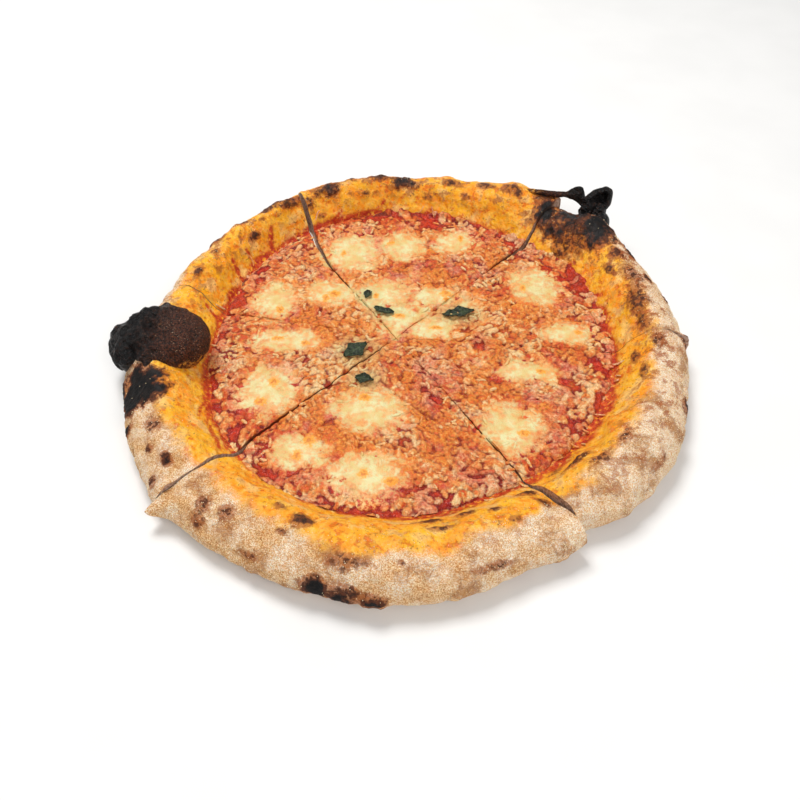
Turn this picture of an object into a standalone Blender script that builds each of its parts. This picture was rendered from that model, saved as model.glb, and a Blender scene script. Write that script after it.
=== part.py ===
"""A whole margherita pizza, baked on a stone and cut into six slices by three straight cuts.

Metres, +Z up. The underside lies on z = 0 and the three cuts cross at CUT_CENTRE. Seen from above,
angles run counterclockwise from +X. Each slice is a wedge of dough with its piece of the puffed
rim, and a layer of tomato sauce and melted grated cheese that runs through to the cut faces.
Pools of melted mozzarella and basil leaves lie on top. The left slice carries a large charred
bubble, and the back right slice a burst one: two torn flaps and a strip of burnt skin.
"""

import math

import bmesh
import bpy
from mathutils import Matrix, Vector

# Driving dimensions.
CUT_CENTRE = Vector((-0.0015, 0.0117, 0.0))
DOUGH = 0.0045
CONTACT_GAP = 0.0003
TOPPING = 0.0030
TOPPING_INSET = 0.0008
POOL_MARGIN = 0.0006
ANGLE_STEP = 4.5

# The rim goes round as (angle in degrees, inner radius, outer radius, height) at these stations.
RIM_STATIONS = (
    (0, 0.131, 0.169, 0.027),
    (30, 0.128, 0.167, 0.028),
    (60, 0.124, 0.161, 0.027),
    (90, 0.127, 0.154, 0.026),
    (120, 0.125, 0.149, 0.027),
    (150, 0.114, 0.144, 0.027),
    (180, 0.110, 0.150, 0.026),
    (210, 0.117, 0.166, 0.026),
    (240, 0.123, 0.173, 0.025),
    (270, 0.126, 0.177, 0.027),
    (300, 0.125, 0.172, 0.026),
    (330, 0.129, 0.175, 0.027),
)
CREST_AT = 0.55
SIDE_HEIGHT = 0.42
UNDERCUT = 0.30
INNER_SWELL = 1.25

# The rim swells and sinks a little as (lumps around the pizza, phase in radians, share of height).
RIM_LUMPS = (
    (7, 0.6, 0.045),
    (11, 2.1, 0.035),
    (17, 4.0, 0.020),
)
PINCH_WIDTH = 0.012

# Each slice: start and end cut in degrees, how far it has slid outward, the degrees that its start
# and end stand open, and the share of rim height that the cutter pressed away at each end.
SLICES = {
    "back": (46.0, 122.0, 0.0012, 1.1, 1.3, 0.02, 0.18),
    "back_left": (122.0, 168.0, 0.0014, 1.0, 0.4, 0.04, 0.10),
    "left": (168.0, 225.0, 0.0012, 0.4, 0.9, 0.10, 0.16),
    "front": (225.0, 302.5, 0.0020, 0.9, 0.3, 0.30, 0.24),
    "front_right": (302.5, 355.0, 0.0010, 0.3, 0.1, 0.16, 0.06),
    "back_right": (355.0, 406.0, 0.0010, 0.1, 1.1, 0.06, 0.12),
}

# Mozzarella pools: slice, centre from the cuts' crossing, length along X, width along Y, height.
POOLS = (
    ("back", -0.032, 0.082, 0.032, 0.034, 0.0026),
    ("back", 0.004, 0.088, 0.026, 0.024, 0.0022),
    ("back", -0.007, 0.038, 0.028, 0.022, 0.0024),
    ("back", 0.003, 0.016, 0.024, 0.018, 0.0018),
    ("back", 0.026, 0.036, 0.026, 0.013, 0.0018),
    ("back", 0.040, 0.092, 0.026, 0.019, 0.0022),
    ("back_left", -0.077, 0.033, 0.024, 0.031, 0.0028),
    ("back_left", -0.041, 0.040, 0.028, 0.018, 0.0024),
    ("left", -0.067, -0.003, 0.036, 0.015, 0.0022),
    ("left", -0.072, -0.045, 0.027, 0.031, 0.0028),
    ("front", -0.014, -0.056, 0.034, 0.026, 0.0024),
    ("front", -0.051, -0.084, 0.026, 0.018, 0.0022),
    ("front", -0.014, -0.100, 0.034, 0.023, 0.0026),
    ("front_right", 0.062, -0.071, 0.028, 0.028, 0.0028),
    ("front_right", 0.076, -0.028, 0.030, 0.014, 0.0022),
    ("back_right", 0.090, 0.045, 0.027, 0.029, 0.0028),
    ("back_right", 0.104, 0.003, 0.025, 0.014, 0.0022),
    ("back_right", 0.022, 0.008, 0.026, 0.014, 0.0018),
)
POOL_SIDES = 16
POOL_WOBBLE = 0.09

# Basil leaves: slice, centre from the cuts' crossing, length, width, turn in degrees, curl height.
LEAVES = (
    ("back", -0.008, 0.021, 0.013, 0.0050, -20, 0.0010),
    ("back_right", 0.038, 0.020, 0.019, 0.0080, 12, 0.0016),
    ("left", -0.023, -0.012, 0.019, 0.0110, 40, 0.0020),
    ("front", -0.018, -0.034, 0.010, 0.0060, -15, 0.0010),
    ("back", -0.018, 0.037, 0.006, 0.0040, 60, 0.0008),
)
LEAF_THICKNESS = 0.0006
LEAF_CUTS = 5

# The charred bubble on the left slice: places from the cuts' crossing, and half sizes.
BUBBLE_CENTRE = Vector((-0.1340, -0.0160, 0.0215))
BUBBLE_HALF = Vector((0.0310, 0.0240, 0.0170))
BUBBLE_TURN = 14
LEDGE_CENTRE = Vector((-0.1560, -0.0290, 0.0200))
LEDGE_HALF = Vector((0.0110, 0.0150, 0.0115))

# The burst bubble on the back right slice: its swollen foot, and torn flaps that taper to a tip.
# A flap is given by foot, tip, half width, half thickness and turn in degrees about its length.
BURST_CENTRE = Vector((0.1218, 0.0918, 0.0165))
BURST_HALF = Vector((0.0210, 0.0200, 0.0145))
BURST_TURN = 37
FLAPS = (
    (Vector((0.1265, 0.1010, 0.0190)), Vector((0.1255, 0.1140, 0.0390)), 0.0050, 0.0020, 0),
    (Vector((0.1320, 0.0945, 0.0190)), Vector((0.1415, 0.1060, 0.0410)), 0.0075, 0.0036, 40),
)
STRIP_POINTS = (
    Vector((0.1260, 0.1110, 0.0335)),
    Vector((0.1150, 0.1175, 0.0325)),
    Vector((0.1055, 0.1205, 0.0310)),
    Vector((0.0995, 0.1215, 0.0295)),
)
STRIP_HALF = (0.0024, 0.0012)


def station_value(angle, column):
    """A rim dimension at any angle, by a smooth curve through the stations."""
    count = len(RIM_STATIONS)
    place = (angle % 360.0) * count / 360.0
    first = int(place) % count
    share = place - int(place)
    before, here, after, later = (RIM_STATIONS[(first + k) % count][column] for k in (-1, 0, 1, 2))
    bend = 2.0 * before - 5.0 * here + 4.0 * after - later
    twist = 3.0 * (here - after) + later - before
    return here + 0.5 * share * (after - before + share * (bend + share * twist))


def rim_height(angle, slice_name):
    """Height of the rim's crest, with its lumps and with the ends that the cutter pressed down."""
    start, end, _, _, _, start_pinch, end_pinch = SLICES[slice_name]
    height = station_value(angle, 3)
    for lumps, phase, share in RIM_LUMPS:
        height += station_value(angle, 3) * share * math.sin(lumps * math.radians(angle) + phase)
    radius = station_value(angle, 2)
    for cut, pinch in ((start, start_pinch), (end, end_pinch)):
        away = radius * math.radians(abs(angle - cut)) / PINCH_WIDTH
        height -= height * pinch * math.exp(-away * away)
    return height


def crust_profile(angle, slice_name):
    """(radius, height) of one section through the dough, from the tip's top round to its bottom."""
    inner = station_value(angle, 1)
    outer = station_value(angle, 2)
    height = rim_height(angle, slice_name)
    crest = inner + CREST_AT * (outer - inner)
    side = SIDE_HEIGHT * height
    foot = outer - UNDERCUT * (outer - inner)
    points = [(0.0, DOUGH), (inner * 0.5, DOUGH), (inner, DOUGH)]
    for share in (0.2, 0.4, 0.6, 0.8):
        rise = math.sin(share * math.pi / 2) ** INNER_SWELL
        points.append((inner + share * (crest - inner), DOUGH + rise * (height - DOUGH)))
    points.append((crest, height))
    for turn in (68, 46, 24, 0):
        turn = math.radians(turn)
        across = crest + (outer - crest) * math.cos(turn)
        points.append((across, side + (height - side) * math.sin(turn)))
    for turn in (35, 65):
        turn = math.radians(turn)
        points.append((foot + (outer - foot) * math.cos(turn), side * (1 - math.sin(turn))))
    points.append((foot, 0.0))
    points.append((0.0, 0.0))
    return points


def topping_profile(angle, slice_name):
    """(radius, height) of one section through the sauce and cheese layer."""
    lap = 0.5 + 0.5 * math.sin(math.radians(angle) * 23)
    edge = station_value(angle, 1) - TOPPING_INSET * (1 + lap)
    base = DOUGH + CONTACT_GAP
    return [
        (0.0, base + TOPPING),
        (edge * 0.5, base + TOPPING),
        (edge - 0.004, base + TOPPING),
        (edge, base + TOPPING * 0.45),
        (edge, base),
        (0.0, base),
    ]


def slice_shift(slice_name):
    """How far the slice stands from the cuts' crossing, along its middle."""
    start, end, slide = SLICES[slice_name][:3]
    middle = math.radians((start + end) / 2)
    return CUT_CENTRE + Vector((math.cos(middle), math.sin(middle), 0.0)) * slide


def cut_angles(slice_name):
    """Where the slice's two cut faces stand, in degrees."""
    start, end, _, start_open, end_open = SLICES[slice_name][:5]
    return start + start_open, end - end_open


def material(name, colour, roughness):
    """A plain finish of one colour, given as linear red, green and blue."""
    finish = bpy.data.materials.new(name)
    finish.use_nodes = True
    shader = finish.node_tree.nodes["Principled BSDF"]
    shader.inputs["Base Color"].default_value = (*colour, 1.0)
    shader.inputs["Roughness"].default_value = roughness
    shader.inputs["Metallic"].default_value = 0.0
    return finish


def add_object(name, mesh, finish, smooth=True):
    """Puts a mesh in the scene as a named object with its finish."""
    mesh.materials.append(finish)
    mesh.polygons.foreach_set("use_smooth", [smooth] * len(mesh.polygons))
    thing = bpy.data.objects.new(name, mesh)
    bpy.context.scene.collection.objects.link(thing)
    return thing


def mesh_of(name, shape):
    """Turns a bmesh into a mesh with its faces looking outward."""
    bmesh.ops.recalc_face_normals(shape, faces=shape.faces)
    mesh = bpy.data.meshes.new(name)
    shape.to_mesh(mesh)
    shape.free()
    return mesh


def wedge(name, slice_name, profile):
    """Sweeps a section round the cuts' crossing from one cut face to the other and closes it."""
    start, end = cut_angles(slice_name)
    steps = round((end - start) / ANGLE_STEP)
    shift = slice_shift(slice_name)
    shape = bmesh.new()
    sections = []
    tips = None
    for step in range(steps + 1):
        angle = start + (end - start) * step / steps
        turn = math.radians(angle)
        points = profile(angle, slice_name)
        if tips is None:
            tips = [shape.verts.new(shift + Vector((0, 0, points[k][1]))) for k in (0, -1)]
        ring = [tips[0]]
        for radius, height in points[1:-1]:
            place = Vector((radius * math.cos(turn), radius * math.sin(turn), height))
            ring.append(shape.verts.new(shift + place))
        ring.append(tips[1])
        sections.append(ring)
    for ring, following in zip(sections, sections[1:]):
        for k in range(len(ring) - 1):
            corners = [ring[k], ring[k + 1], following[k + 1], following[k]]
            shape.faces.new(list(dict.fromkeys(corners)))
    shape.faces.new(sections[0])
    shape.faces.new(sections[-1])
    return mesh_of(name, shape)


def keep_in_slice(place, slice_name):
    """Moves a point back inside the slice's two cut faces, less a small margin."""
    start, end = (math.radians(angle) for angle in cut_angles(slice_name))
    sides = (Vector((-math.sin(start), math.cos(start))), Vector((math.sin(end), -math.cos(end))))
    for _ in range(4):
        for inward in sides:
            short = POOL_MARGIN - place.dot(inward)
            if short > 0.0:
                place = place + inward * short
    return place


def pool_mesh(name, number, slice_name, centre_x, centre_y, length, width, height):
    """A low dome of melted cheese with a wavering edge."""
    shift = slice_shift(slice_name)
    base = DOUGH + TOPPING + 2 * CONTACT_GAP
    middle = keep_in_slice(Vector((centre_x, centre_y)), slice_name)
    rings = ((1.0, 0.0), (1.02, 0.35), (0.82, 0.80), (0.45, 1.0))
    shape = bmesh.new()
    made = []
    for reach, rise in rings:
        ring = []
        for side in range(POOL_SIDES):
            turn = 2 * math.pi * side / POOL_SIDES
            wave = math.sin(3 * turn + number) + 0.6 * math.sin(5 * turn + 2.3 * number)
            grow = reach * (1 + POOL_WOBBLE * wave) / 2
            place = Vector((centre_x, centre_y))
            place += Vector((length * grow * math.cos(turn), width * grow * math.sin(turn)))
            place = keep_in_slice(place, slice_name)
            ring.append(shape.verts.new(shift + Vector((*place, base + rise * height))))
        made.append(ring)
    for low, high in zip(made, made[1:]):
        for side in range(POOL_SIDES):
            after = (side + 1) % POOL_SIDES
            shape.faces.new((low[side], low[after], high[after], high[side]))
    top = shape.verts.new(shift + Vector((*middle, base + height)))
    for side in range(POOL_SIDES):
        shape.faces.new((made[-1][side], made[-1][(side + 1) % POOL_SIDES], top))
    shape.faces.new(made[0])
    return mesh_of(name, shape)


def leaf_mesh(name, slice_name, centre_x, centre_y, length, width, turn, curl):
    """A small wilted leaf: pointed at both ends, folded along its midrib and arched."""
    shift = slice_shift(slice_name)
    highest_pool = max(pool[-1] for pool in POOLS)
    base = DOUGH + TOPPING + highest_pool + 3 * CONTACT_GAP
    turning = Matrix.Rotation(math.radians(turn), 2)
    shape = bmesh.new()
    rows = []
    for step in range(LEAF_CUTS + 1):
        along = step / LEAF_CUTS
        half = 0.5 * width * (0.12 + 0.88 * math.sin(math.pi * along ** 0.85))
        arch = curl * math.sin(math.pi * along)
        row = []
        for across in (-1.0, -0.5, 0.0, 0.5, 1.0):
            place = turning @ Vector(((along - 0.5) * length, across * half))
            place = keep_in_slice(place + Vector((centre_x, centre_y)), slice_name)
            fold = curl * 0.5 * across * across
            row.append(shape.verts.new(shift + Vector((*place, base + arch + fold))))
        rows.append(row)
    for row, following in zip(rows, rows[1:]):
        for k in range(len(row) - 1):
            shape.faces.new((row[k], row[k + 1], following[k + 1], following[k]))
    for face in shape.faces:
        if face.normal.z < 0.0:
            face.normal_flip()
    mesh = bpy.data.meshes.new(name)
    shape.to_mesh(mesh)
    shape.free()
    return mesh


def ball(name, centre, half, turn, finish):
    """A rounded lump, standing turned by some degrees about the upright."""
    shape = bmesh.new()
    bmesh.ops.create_uvsphere(shape, u_segments=22, v_segments=12, radius=1.0)
    placing = Matrix.Translation(CUT_CENTRE + centre)
    placing @= Matrix.Rotation(math.radians(turn), 4, "Z") @ Matrix.Diagonal((*half, 1.0))
    bmesh.ops.transform(shape, matrix=placing, verts=shape.verts)
    return helper(add_object(name, mesh_of(name, shape), finish))


def swept(name, points, halves, turn, finish):
    """A strip of oval section along a few points. Its ends are closed."""
    sides = 10
    shape = bmesh.new()
    rings = []
    for place, (wide, thick) in zip(points, halves):
        ring = []
        for side in range(sides):
            around = 2 * math.pi * side / sides
            flat = Vector((wide * math.cos(around), thick * math.sin(around), 0.0))
            ring.append(flat)
        rings.append((place, ring))
    made = []
    for index, (place, ring) in enumerate(rings):
        before = points[max(index - 1, 0)]
        after = points[min(index + 1, len(points) - 1)]
        facing = (after - before).normalized().to_track_quat("Z", "Y").to_matrix()
        facing = facing @ Matrix.Rotation(math.radians(turn), 3, "Z")
        made.append([shape.verts.new(CUT_CENTRE + place + facing @ flat) for flat in ring])
    for low, high in zip(made, made[1:]):
        for side in range(sides):
            after = (side + 1) % sides
            shape.faces.new((low[side], low[after], high[after], high[side]))
    shape.faces.new(made[0])
    shape.faces.new(made[-1])
    return helper(add_object(name, mesh_of(name, shape), finish))


def helper(thing):
    """Keeps a shape that is only joined into another out of the model itself."""
    thing.hide_render = True
    thing.display_type = "WIRE"
    return thing


def join_into(body, lumps):
    """Unites lumps with a body, one after another."""
    for lump in lumps:
        union = body.modifiers.new(lump.name, "BOOLEAN")
        union.operation = "UNION"
        union.object = lump


def charred_bubble(finish):
    """The dome of the blown bubble, and the broken ledge at its outer side."""
    dome = ball("bubble_dome", BUBBLE_CENTRE, BUBBLE_HALF, BUBBLE_TURN, finish)
    ledge = ball("bubble_ledge", LEDGE_CENTRE, LEDGE_HALF, BUBBLE_TURN, finish)
    return [dome, ledge]


def burst_bubble(finish):
    """The swollen foot, two torn flaps, and the strip that still reaches toward the next slice."""
    made = [ball("burst_foot", BURST_CENTRE, BURST_HALF, BURST_TURN, finish)]
    for number, (foot, tip, width, thickness, turn) in enumerate(FLAPS):
        middle = foot.lerp(tip, 0.55)
        neck = foot.lerp(tip, 0.20)
        points = (foot, neck, middle, tip)
        halves = (
            (width * 0.8, thickness),
            (width * 0.7, thickness * 0.9),
            (width, thickness * 0.8),
            (width * 0.35, thickness * 0.4),
        )
        made.append(swept(f"burst_flap_{number}", points, halves, turn, finish))
    halves = [STRIP_HALF] * len(STRIP_POINTS)
    made.append(swept("burst_strip", STRIP_POINTS, halves, 0, finish))
    return made


def build():
    """Makes every piece of the pizza."""
    for thing in list(bpy.data.objects):
        bpy.data.objects.remove(thing)
    bread = material("baked_dough", (0.70, 0.42, 0.14), 0.75)
    sauce = material("sauce_and_cheese", (0.72, 0.22, 0.07), 0.45)
    curd = material("melted_mozzarella", (0.86, 0.72, 0.40), 0.40)
    leaf = material("basil", (0.03, 0.06, 0.02), 0.55)
    crusts = {}
    for slice_name in SLICES:
        name = f"crust_{slice_name}"
        crusts[slice_name] = add_object(name, wedge(name, slice_name, crust_profile), bread)
        name = f"topping_{slice_name}"
        add_object(name, wedge(name, slice_name, topping_profile), sauce)
    join_into(crusts["left"], charred_bubble(bread))
    join_into(crusts["back_right"], burst_bubble(bread))
    for number, pool in enumerate(POOLS, start=1):
        name = f"mozzarella_{number:02d}"
        add_object(name, pool_mesh(name, number, *pool), curd)
    for number, placing in enumerate(LEAVES, start=1):
        name = f"basil_{number}"
        thing = add_object(name, leaf_mesh(name, *placing), leaf)
        thickness = thing.modifiers.new("thickness", "SOLIDIFY")
        thickness.thickness = LEAF_THICKNESS
        thickness.offset = 1.0


build()
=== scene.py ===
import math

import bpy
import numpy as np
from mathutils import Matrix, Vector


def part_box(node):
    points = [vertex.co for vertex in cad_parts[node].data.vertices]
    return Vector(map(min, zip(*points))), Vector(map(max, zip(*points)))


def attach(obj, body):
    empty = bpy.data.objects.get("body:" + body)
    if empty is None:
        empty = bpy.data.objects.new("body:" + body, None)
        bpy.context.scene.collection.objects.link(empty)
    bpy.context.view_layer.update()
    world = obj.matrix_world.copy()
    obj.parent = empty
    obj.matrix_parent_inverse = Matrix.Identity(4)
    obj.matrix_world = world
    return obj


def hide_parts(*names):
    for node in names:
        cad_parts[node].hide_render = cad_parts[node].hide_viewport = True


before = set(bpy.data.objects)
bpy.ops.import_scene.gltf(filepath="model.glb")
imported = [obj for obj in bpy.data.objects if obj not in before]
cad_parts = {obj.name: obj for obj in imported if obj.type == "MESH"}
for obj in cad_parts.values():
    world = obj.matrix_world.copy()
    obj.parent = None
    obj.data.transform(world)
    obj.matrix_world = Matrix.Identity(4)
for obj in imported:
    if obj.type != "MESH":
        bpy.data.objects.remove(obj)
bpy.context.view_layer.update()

# %% [markdown]
# # A margherita pizza, straight from a wood-fired oven
#
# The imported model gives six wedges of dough, a sauce layer on each, pools of mozzarella and a few
# basil leaves. This lesson keeps their places and sizes and makes the food itself: dough that
# puffed and scorched, grated cheese that half melted, sauce, blisters and wilted leaves.
#
# Every surface here is worked out with arrays of points. A baked surface is far too uneven to pull
# about by hand, and a formula can be repeated exactly.

MM = 0.001
BOXES = {node: np.array([list(corner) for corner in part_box(node)]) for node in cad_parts}

# %% [markdown]
# ## The six slices
#
# A pizza wheel made three nearly straight cuts through one point. Most of each cut closed up again
# under the melted cheese, and some stand open toward the rim. The tips of two slices show where
# the cuts cross: each tip slid out by about a millimetre.

# %% Slices and the crossing of the cuts
# start and end cut in degrees
SLICES = {
    "back": (46.0, 122.0),
    "back_left": (122.0, 168.0),
    "left": (168.0, 225.0),
    "front": (225.0, 302.5),
    "front_right": (302.5, 355.0),
    "back_right": (355.0, 406.0),
}
# share of the rim's height that the wheel pressed away at the slice's start and end
PINCHES = {
    "back": (0.04, 0.22),
    "back_left": (0.06, 0.10),
    "left": (0.10, 0.32),
    "front": (0.38, 0.52),
    "front_right": (0.26, 0.06),
    "back_right": (0.06, 0.16),
}
# half the width of each cut in millimetres, at these distances from the crossing
GAP_RADII = np.array((0, 30, 80, 108, 126, 150, 175)) * MM
HALF_GAPS = {
    46.0: (0.0, 0.0, 0.0, 1.0, 1.5, 0.1, 0.1),
    122.0: (0.05, 0.10, 0.50, 1.4, 1.9, 1.8, 1.5),
    168.0: (0.0, 0.0, 0.0, 0.2, 0.4, 0.2, 0.2),
    225.0: (0.10, 0.35, 0.60, 0.9, 1.3, 0.3, 0.2),
    302.5: (0.05, 0.15, 0.35, 0.4, 0.6, 0.7, 0.6),
    355.0: (0.0, 0.0, 0.05, 0.2, 0.2, 0.2, 0.2),
}
# how far two of the cuts bend sideways at the same distances: above zero toward larger angles
CUT_BENDS = {
    122.0: (0.0, 0.3, 1.5, -2.5, -7.5, -9.0, -9.0),
    225.0: (0.0, 0.0, 0.0, 0.0, 2.0, 6.5, 3.0),
}
TIP_SLIDE = np.array((0.9, 1.2)) * MM
CROSSING = np.array((
    BOXES["crust_front_right"][0][0] - TIP_SLIDE[0],
    BOXES["crust_back"][0][1] - TIP_SLIDE[1],
    0.0,
))
DOUGH = 4.5 * MM
SAUCE_LEVEL = 6.5 * MM
print("the cuts cross at", np.round(CROSSING / MM, 1), "mm")

# %% [markdown]
# ## Noise
#
# Dough, cheese and ash are uneven at many sizes at once. Value noise gives that: a random number
# at each corner of a grid, blended smoothly between. The numbers come from the corner's own place,
# so the same point always gets the same value.

# %% Noise in arrays
def corner_value(column, row, layer, seed):
    """A repeatable number from -1 to 1 for each grid corner."""
    mixed = column * 374761393 + row * 668265263 + layer * 2147483647 + seed * 974634777
    mixed = (mixed ^ (mixed >> 13)) * 1274126177
    mixed = (mixed ^ (mixed >> 16)) & 0xFFFFFF
    return mixed / float(0x7FFFFF) - 1.0


def noise(points, size, seed, octaves=1):
    """Smooth noise from -1 to 1 with lumps of the given size in metres."""
    total = np.zeros(points.shape[:-1])
    weight_sum = 0.0
    weight = 1.0
    for octave in range(octaves):
        place = points / size
        cell = np.floor(place).astype(np.int64)
        share = place - cell
        share = share * share * share * (share * (share * 6 - 15) + 10)
        value = 0.0
        for corner in range(8):
            steps = (corner & 1, corner >> 1 & 1, corner >> 2 & 1)
            near = [share[..., k] if steps[k] else 1 - share[..., k] for k in range(3)]
            grid = [cell[..., k] + steps[k] for k in range(3)]
            value = value + near[0] * near[1] * near[2] * corner_value(*grid, seed + octave)
        total += weight * value
        weight_sum += weight
        weight *= 0.5
        size *= 0.5
    return total / weight_sum


def ramp(value, low, high):
    """0 below low, 1 above high, and a smooth rise between. Low may be above high."""
    share = np.clip((value - low) / (high - low), 0.0, 1.0)
    return share * share * (3.0 - 2.0 * share)


SEED = 1889
RANDOM = np.random.default_rng(SEED)

# %% [markdown]
# ## Closing the cuts
#
# A slice is first laid out between its exact cut lines. Then the points near a cut are drawn back
# from it by half the gap's width. The wheel pressed the top edges apart and left the bottom nearly
# closed, so a cut is a narrow V.

# %% Gaps between slices
GAP_FADE, BEND_FADE = 8 * MM, 22 * MM


def directions(angle):
    """The ways outward and sideways, toward larger angles, at an angle in degrees."""
    turn = math.radians(angle)
    return (np.array((math.cos(turn), math.sin(turn))),
            np.array((-math.sin(turn), math.cos(turn))))


def side_normals(slice_name):
    """For each cut of a slice: its angle, its direction and the way into the slice."""
    for cut, sign in zip(SLICES[slice_name], (1, -1)):
        along, sideways = directions(cut)
        yield cut, along, sign * sideways


def open_cuts(points, slice_name, share=1.0, extra=0.0):
    """Draws points back from the slice's cuts, which may bend. share and extra set the gap."""
    for cut, along, inward in side_normals(slice_name):
        gaps = np.array(HALF_GAPS[46.0 if cut == 406.0 else cut]) * MM
        out = points[..., :2] @ along
        away = np.maximum(points[..., :2] @ inward, 0)
        gap = np.interp(out, GAP_RADII, gaps) * share + extra
        move = (gap * np.exp(-away / GAP_FADE))[..., None] * inward
        if cut in CUT_BENDS:
            bend = np.interp(out, GAP_RADII, CUT_BENDS[cut]) * MM * np.exp(-away / BEND_FADE)
            move = move + bend[..., None] * directions(cut)[1]
        points[..., :2] += move
    return points


def keep_in_slice(flat, slice_name, margin):
    """Moves points of the plane back inside a slice's two cuts."""
    for _ in range(4):
        for _, _, inward in side_normals(slice_name):
            short = np.maximum(margin - flat @ inward, 0)
            flat = flat + short[..., None] * inward
    return flat


def slice_at(angle):
    """The slice that holds an angle in degrees."""
    for slice_name, (start, end) in SLICES.items():
        if start <= angle < end or start <= angle + 360 < end:
            return slice_name
    return "back_right"


# %% [markdown]
# ## From arrays to a mesh
#
# A grid of points has rows along its first axis. Its triangles face the side that the first axis,
# then the second, turns about, as a right-handed screw does. Three helpers close an open surface:
# one for a slab between two grids, one for a surface that stands on a floor, one for a thin sheet.

# %% Mesh helpers
def make_piece(name, points, triangles, finish, values=None, sharp=None):
    """A mesh object from arrays. Values are named numbers, one on each point."""
    keep = np.all(triangles != np.roll(triangles, 1, axis=1), axis=1)
    used, triangles = np.unique(triangles[keep], return_inverse=True)
    triangles = triangles.reshape(-1, 3)
    points = points[used]
    mesh = bpy.data.meshes.new(name)
    mesh.vertices.add(len(points))
    mesh.vertices.foreach_set("co", points.astype(np.float32).ravel())
    mesh.loops.add(triangles.size)
    mesh.loops.foreach_set("vertex_index", triangles.astype(np.int32).ravel())
    mesh.polygons.add(len(triangles))
    mesh.polygons.foreach_set("loop_start", np.arange(0, triangles.size, 3, dtype=np.int32))
    mesh.polygons.foreach_set("use_smooth", np.ones(len(triangles), bool))
    mesh.update()
    for key, numbers in (values or {}).items():
        layer = mesh.attributes.new(key, "FLOAT", "POINT")
        layer.data.foreach_set("value", np.asarray(numbers, np.float32).ravel()[used])
    if sharp is not None:
        mesh.set_sharp_from_angle(angle=math.radians(sharp))
    mesh.materials.append(finish)
    piece = bpy.data.objects.new(name, mesh)
    bpy.context.scene.collection.objects.link(piece)
    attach(piece, "root")
    COUNTS[name] = len(triangles)
    return piece


COUNTS = {}


def grid_triangles(index):
    """Two triangles for each cell of a grid of point numbers."""
    a, b = index[:-1, :-1].ravel(), index[1:, :-1].ravel()
    c, d = index[1:, 1:].ravel(), index[:-1, 1:].ravel()
    return np.concatenate((np.stack((a, b, c), 1), np.stack((a, c, d), 1)))


def closed_ring(index):
    """A grid of point numbers with its first column again after the last, as a ring needs."""
    return np.concatenate((index, index[:, :1]), 1)


def joined(parts):
    """One array of points and one of triangles from several parts that each have both."""
    starts = np.cumsum([0] + [len(points) for points, _ in parts])
    return (np.concatenate([points for points, _ in parts]),
            np.concatenate([faces + start for (_, faces), start in zip(parts, starts)]))


def facing(grid):
    """The direction that each point of a grid faces."""
    cross = np.cross(np.gradient(grid, axis=0), np.gradient(grid, axis=1))
    return cross / np.maximum(np.linalg.norm(cross, axis=-1, keepdims=True), 1e-12)


def slab_between(upper, lower, shares, wall_shift):
    """Points, triangles and wall marks of a closed wedge between two grids (radius, turn, xyz).

    The first row is the tip, one place for every turn, and the last row the outer edge, which
    both grids share. shares are the depths of the cut faces' rows, from 0 to 1.
    """
    steps, turns = upper.shape[:2]
    size = steps * turns
    top = np.arange(size).reshape(steps, turns)
    base = top + size
    top[0], base[0] = top[0, 0], base[0, 0]
    base[-1] = top[-1]
    points = [upper.reshape(-1, 3), lower.reshape(-1, 3)]
    walls = [np.zeros(2 * size)]
    faces = [grid_triangles(top), grid_triangles(base)[:, ::-1]]
    count = 2 * size
    tip = {}
    for side in (0, -1):
        rows = [top[:, side]]
        for share in shares[1:-1]:
            row = upper[:, side] * (1 - share) + lower[:, side] * share
            number = np.arange(steps) + count
            number[0] = tip.setdefault(share, number[0])
            number[-1] = top[-1, side]
            points.append(row + wall_shift(side, row, share))
            walls.append(np.ones(steps))
            rows.append(number)
            count += steps
        rows.append(base[:, side])
        wall = grid_triangles(np.stack(rows))
        faces.append(wall if side == 0 else wall[:, ::-1])
    return np.concatenate(points), np.concatenate(faces), np.concatenate(walls)


def stand_on(points, triangles, loop, foot, shares=(0, 1), shift=None, inset=None):
    """Closes a surface: walls from its edge loop down to the foot points, and a floor.

    The loop runs anticlockwise seen from above. The floor may run over a second loop, the inset.
    Returns points, triangles and wall marks.
    """
    count = len(points)
    rows, shell = [loop], [points]
    for share in shares[1:]:
        row = points[loop] * (1 - share) + foot * share
        if shift is not None:
            row = row + shift(row, share)
        shell.append(row)
        rows.append(np.arange(len(loop)) + count)
        count += len(loop)
    if inset is not None:
        shell.append(inset)
        rows.append(np.arange(len(loop)) + count)
        count += len(loop)
        foot = inset
    shell.append(foot.mean(0)[None])
    rows = closed_ring(np.stack(rows))
    floor = np.stack((np.full(len(loop), count), rows[-1, 1:], rows[-1, :-1]), 1)
    faces = np.concatenate((triangles, grid_triangles(rows), floor))
    shell = np.concatenate(shell)
    walls = (np.arange(len(shell)) >= len(points)).astype(float)
    return shell, faces, walls


def thin_sheet(grid, thickness):
    """Points and triangles of a closed sheet: a grid and its copy a thickness below."""
    under = grid - facing(grid) * np.asarray(thickness)[..., None]
    size = grid.shape[0] * grid.shape[1]
    index = np.arange(size).reshape(grid.shape[:2])
    loop = np.concatenate((index[:, 0], index[-1, 1:], index[-2::-1, -1], index[0, -2::-1]))
    faces = [grid_triangles(index), grid_triangles(index + size)[:, ::-1],
             grid_triangles(np.stack((loop, loop + size)))]
    return np.concatenate((grid.reshape(-1, 3), under.reshape(-1, 3))), np.concatenate(faces)


# %% [markdown]
# ## The shape of the rim
#
# A baker presses the dough's middle flat and leaves the edge alone, so the edge fills with gas and
# puffs up. Its section is a bun: a rounded slope down to the sauce, a crest, and a side that tucks
# under. The width and height change around the pizza, so a smooth curve runs through a dozen
# stations.

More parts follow.
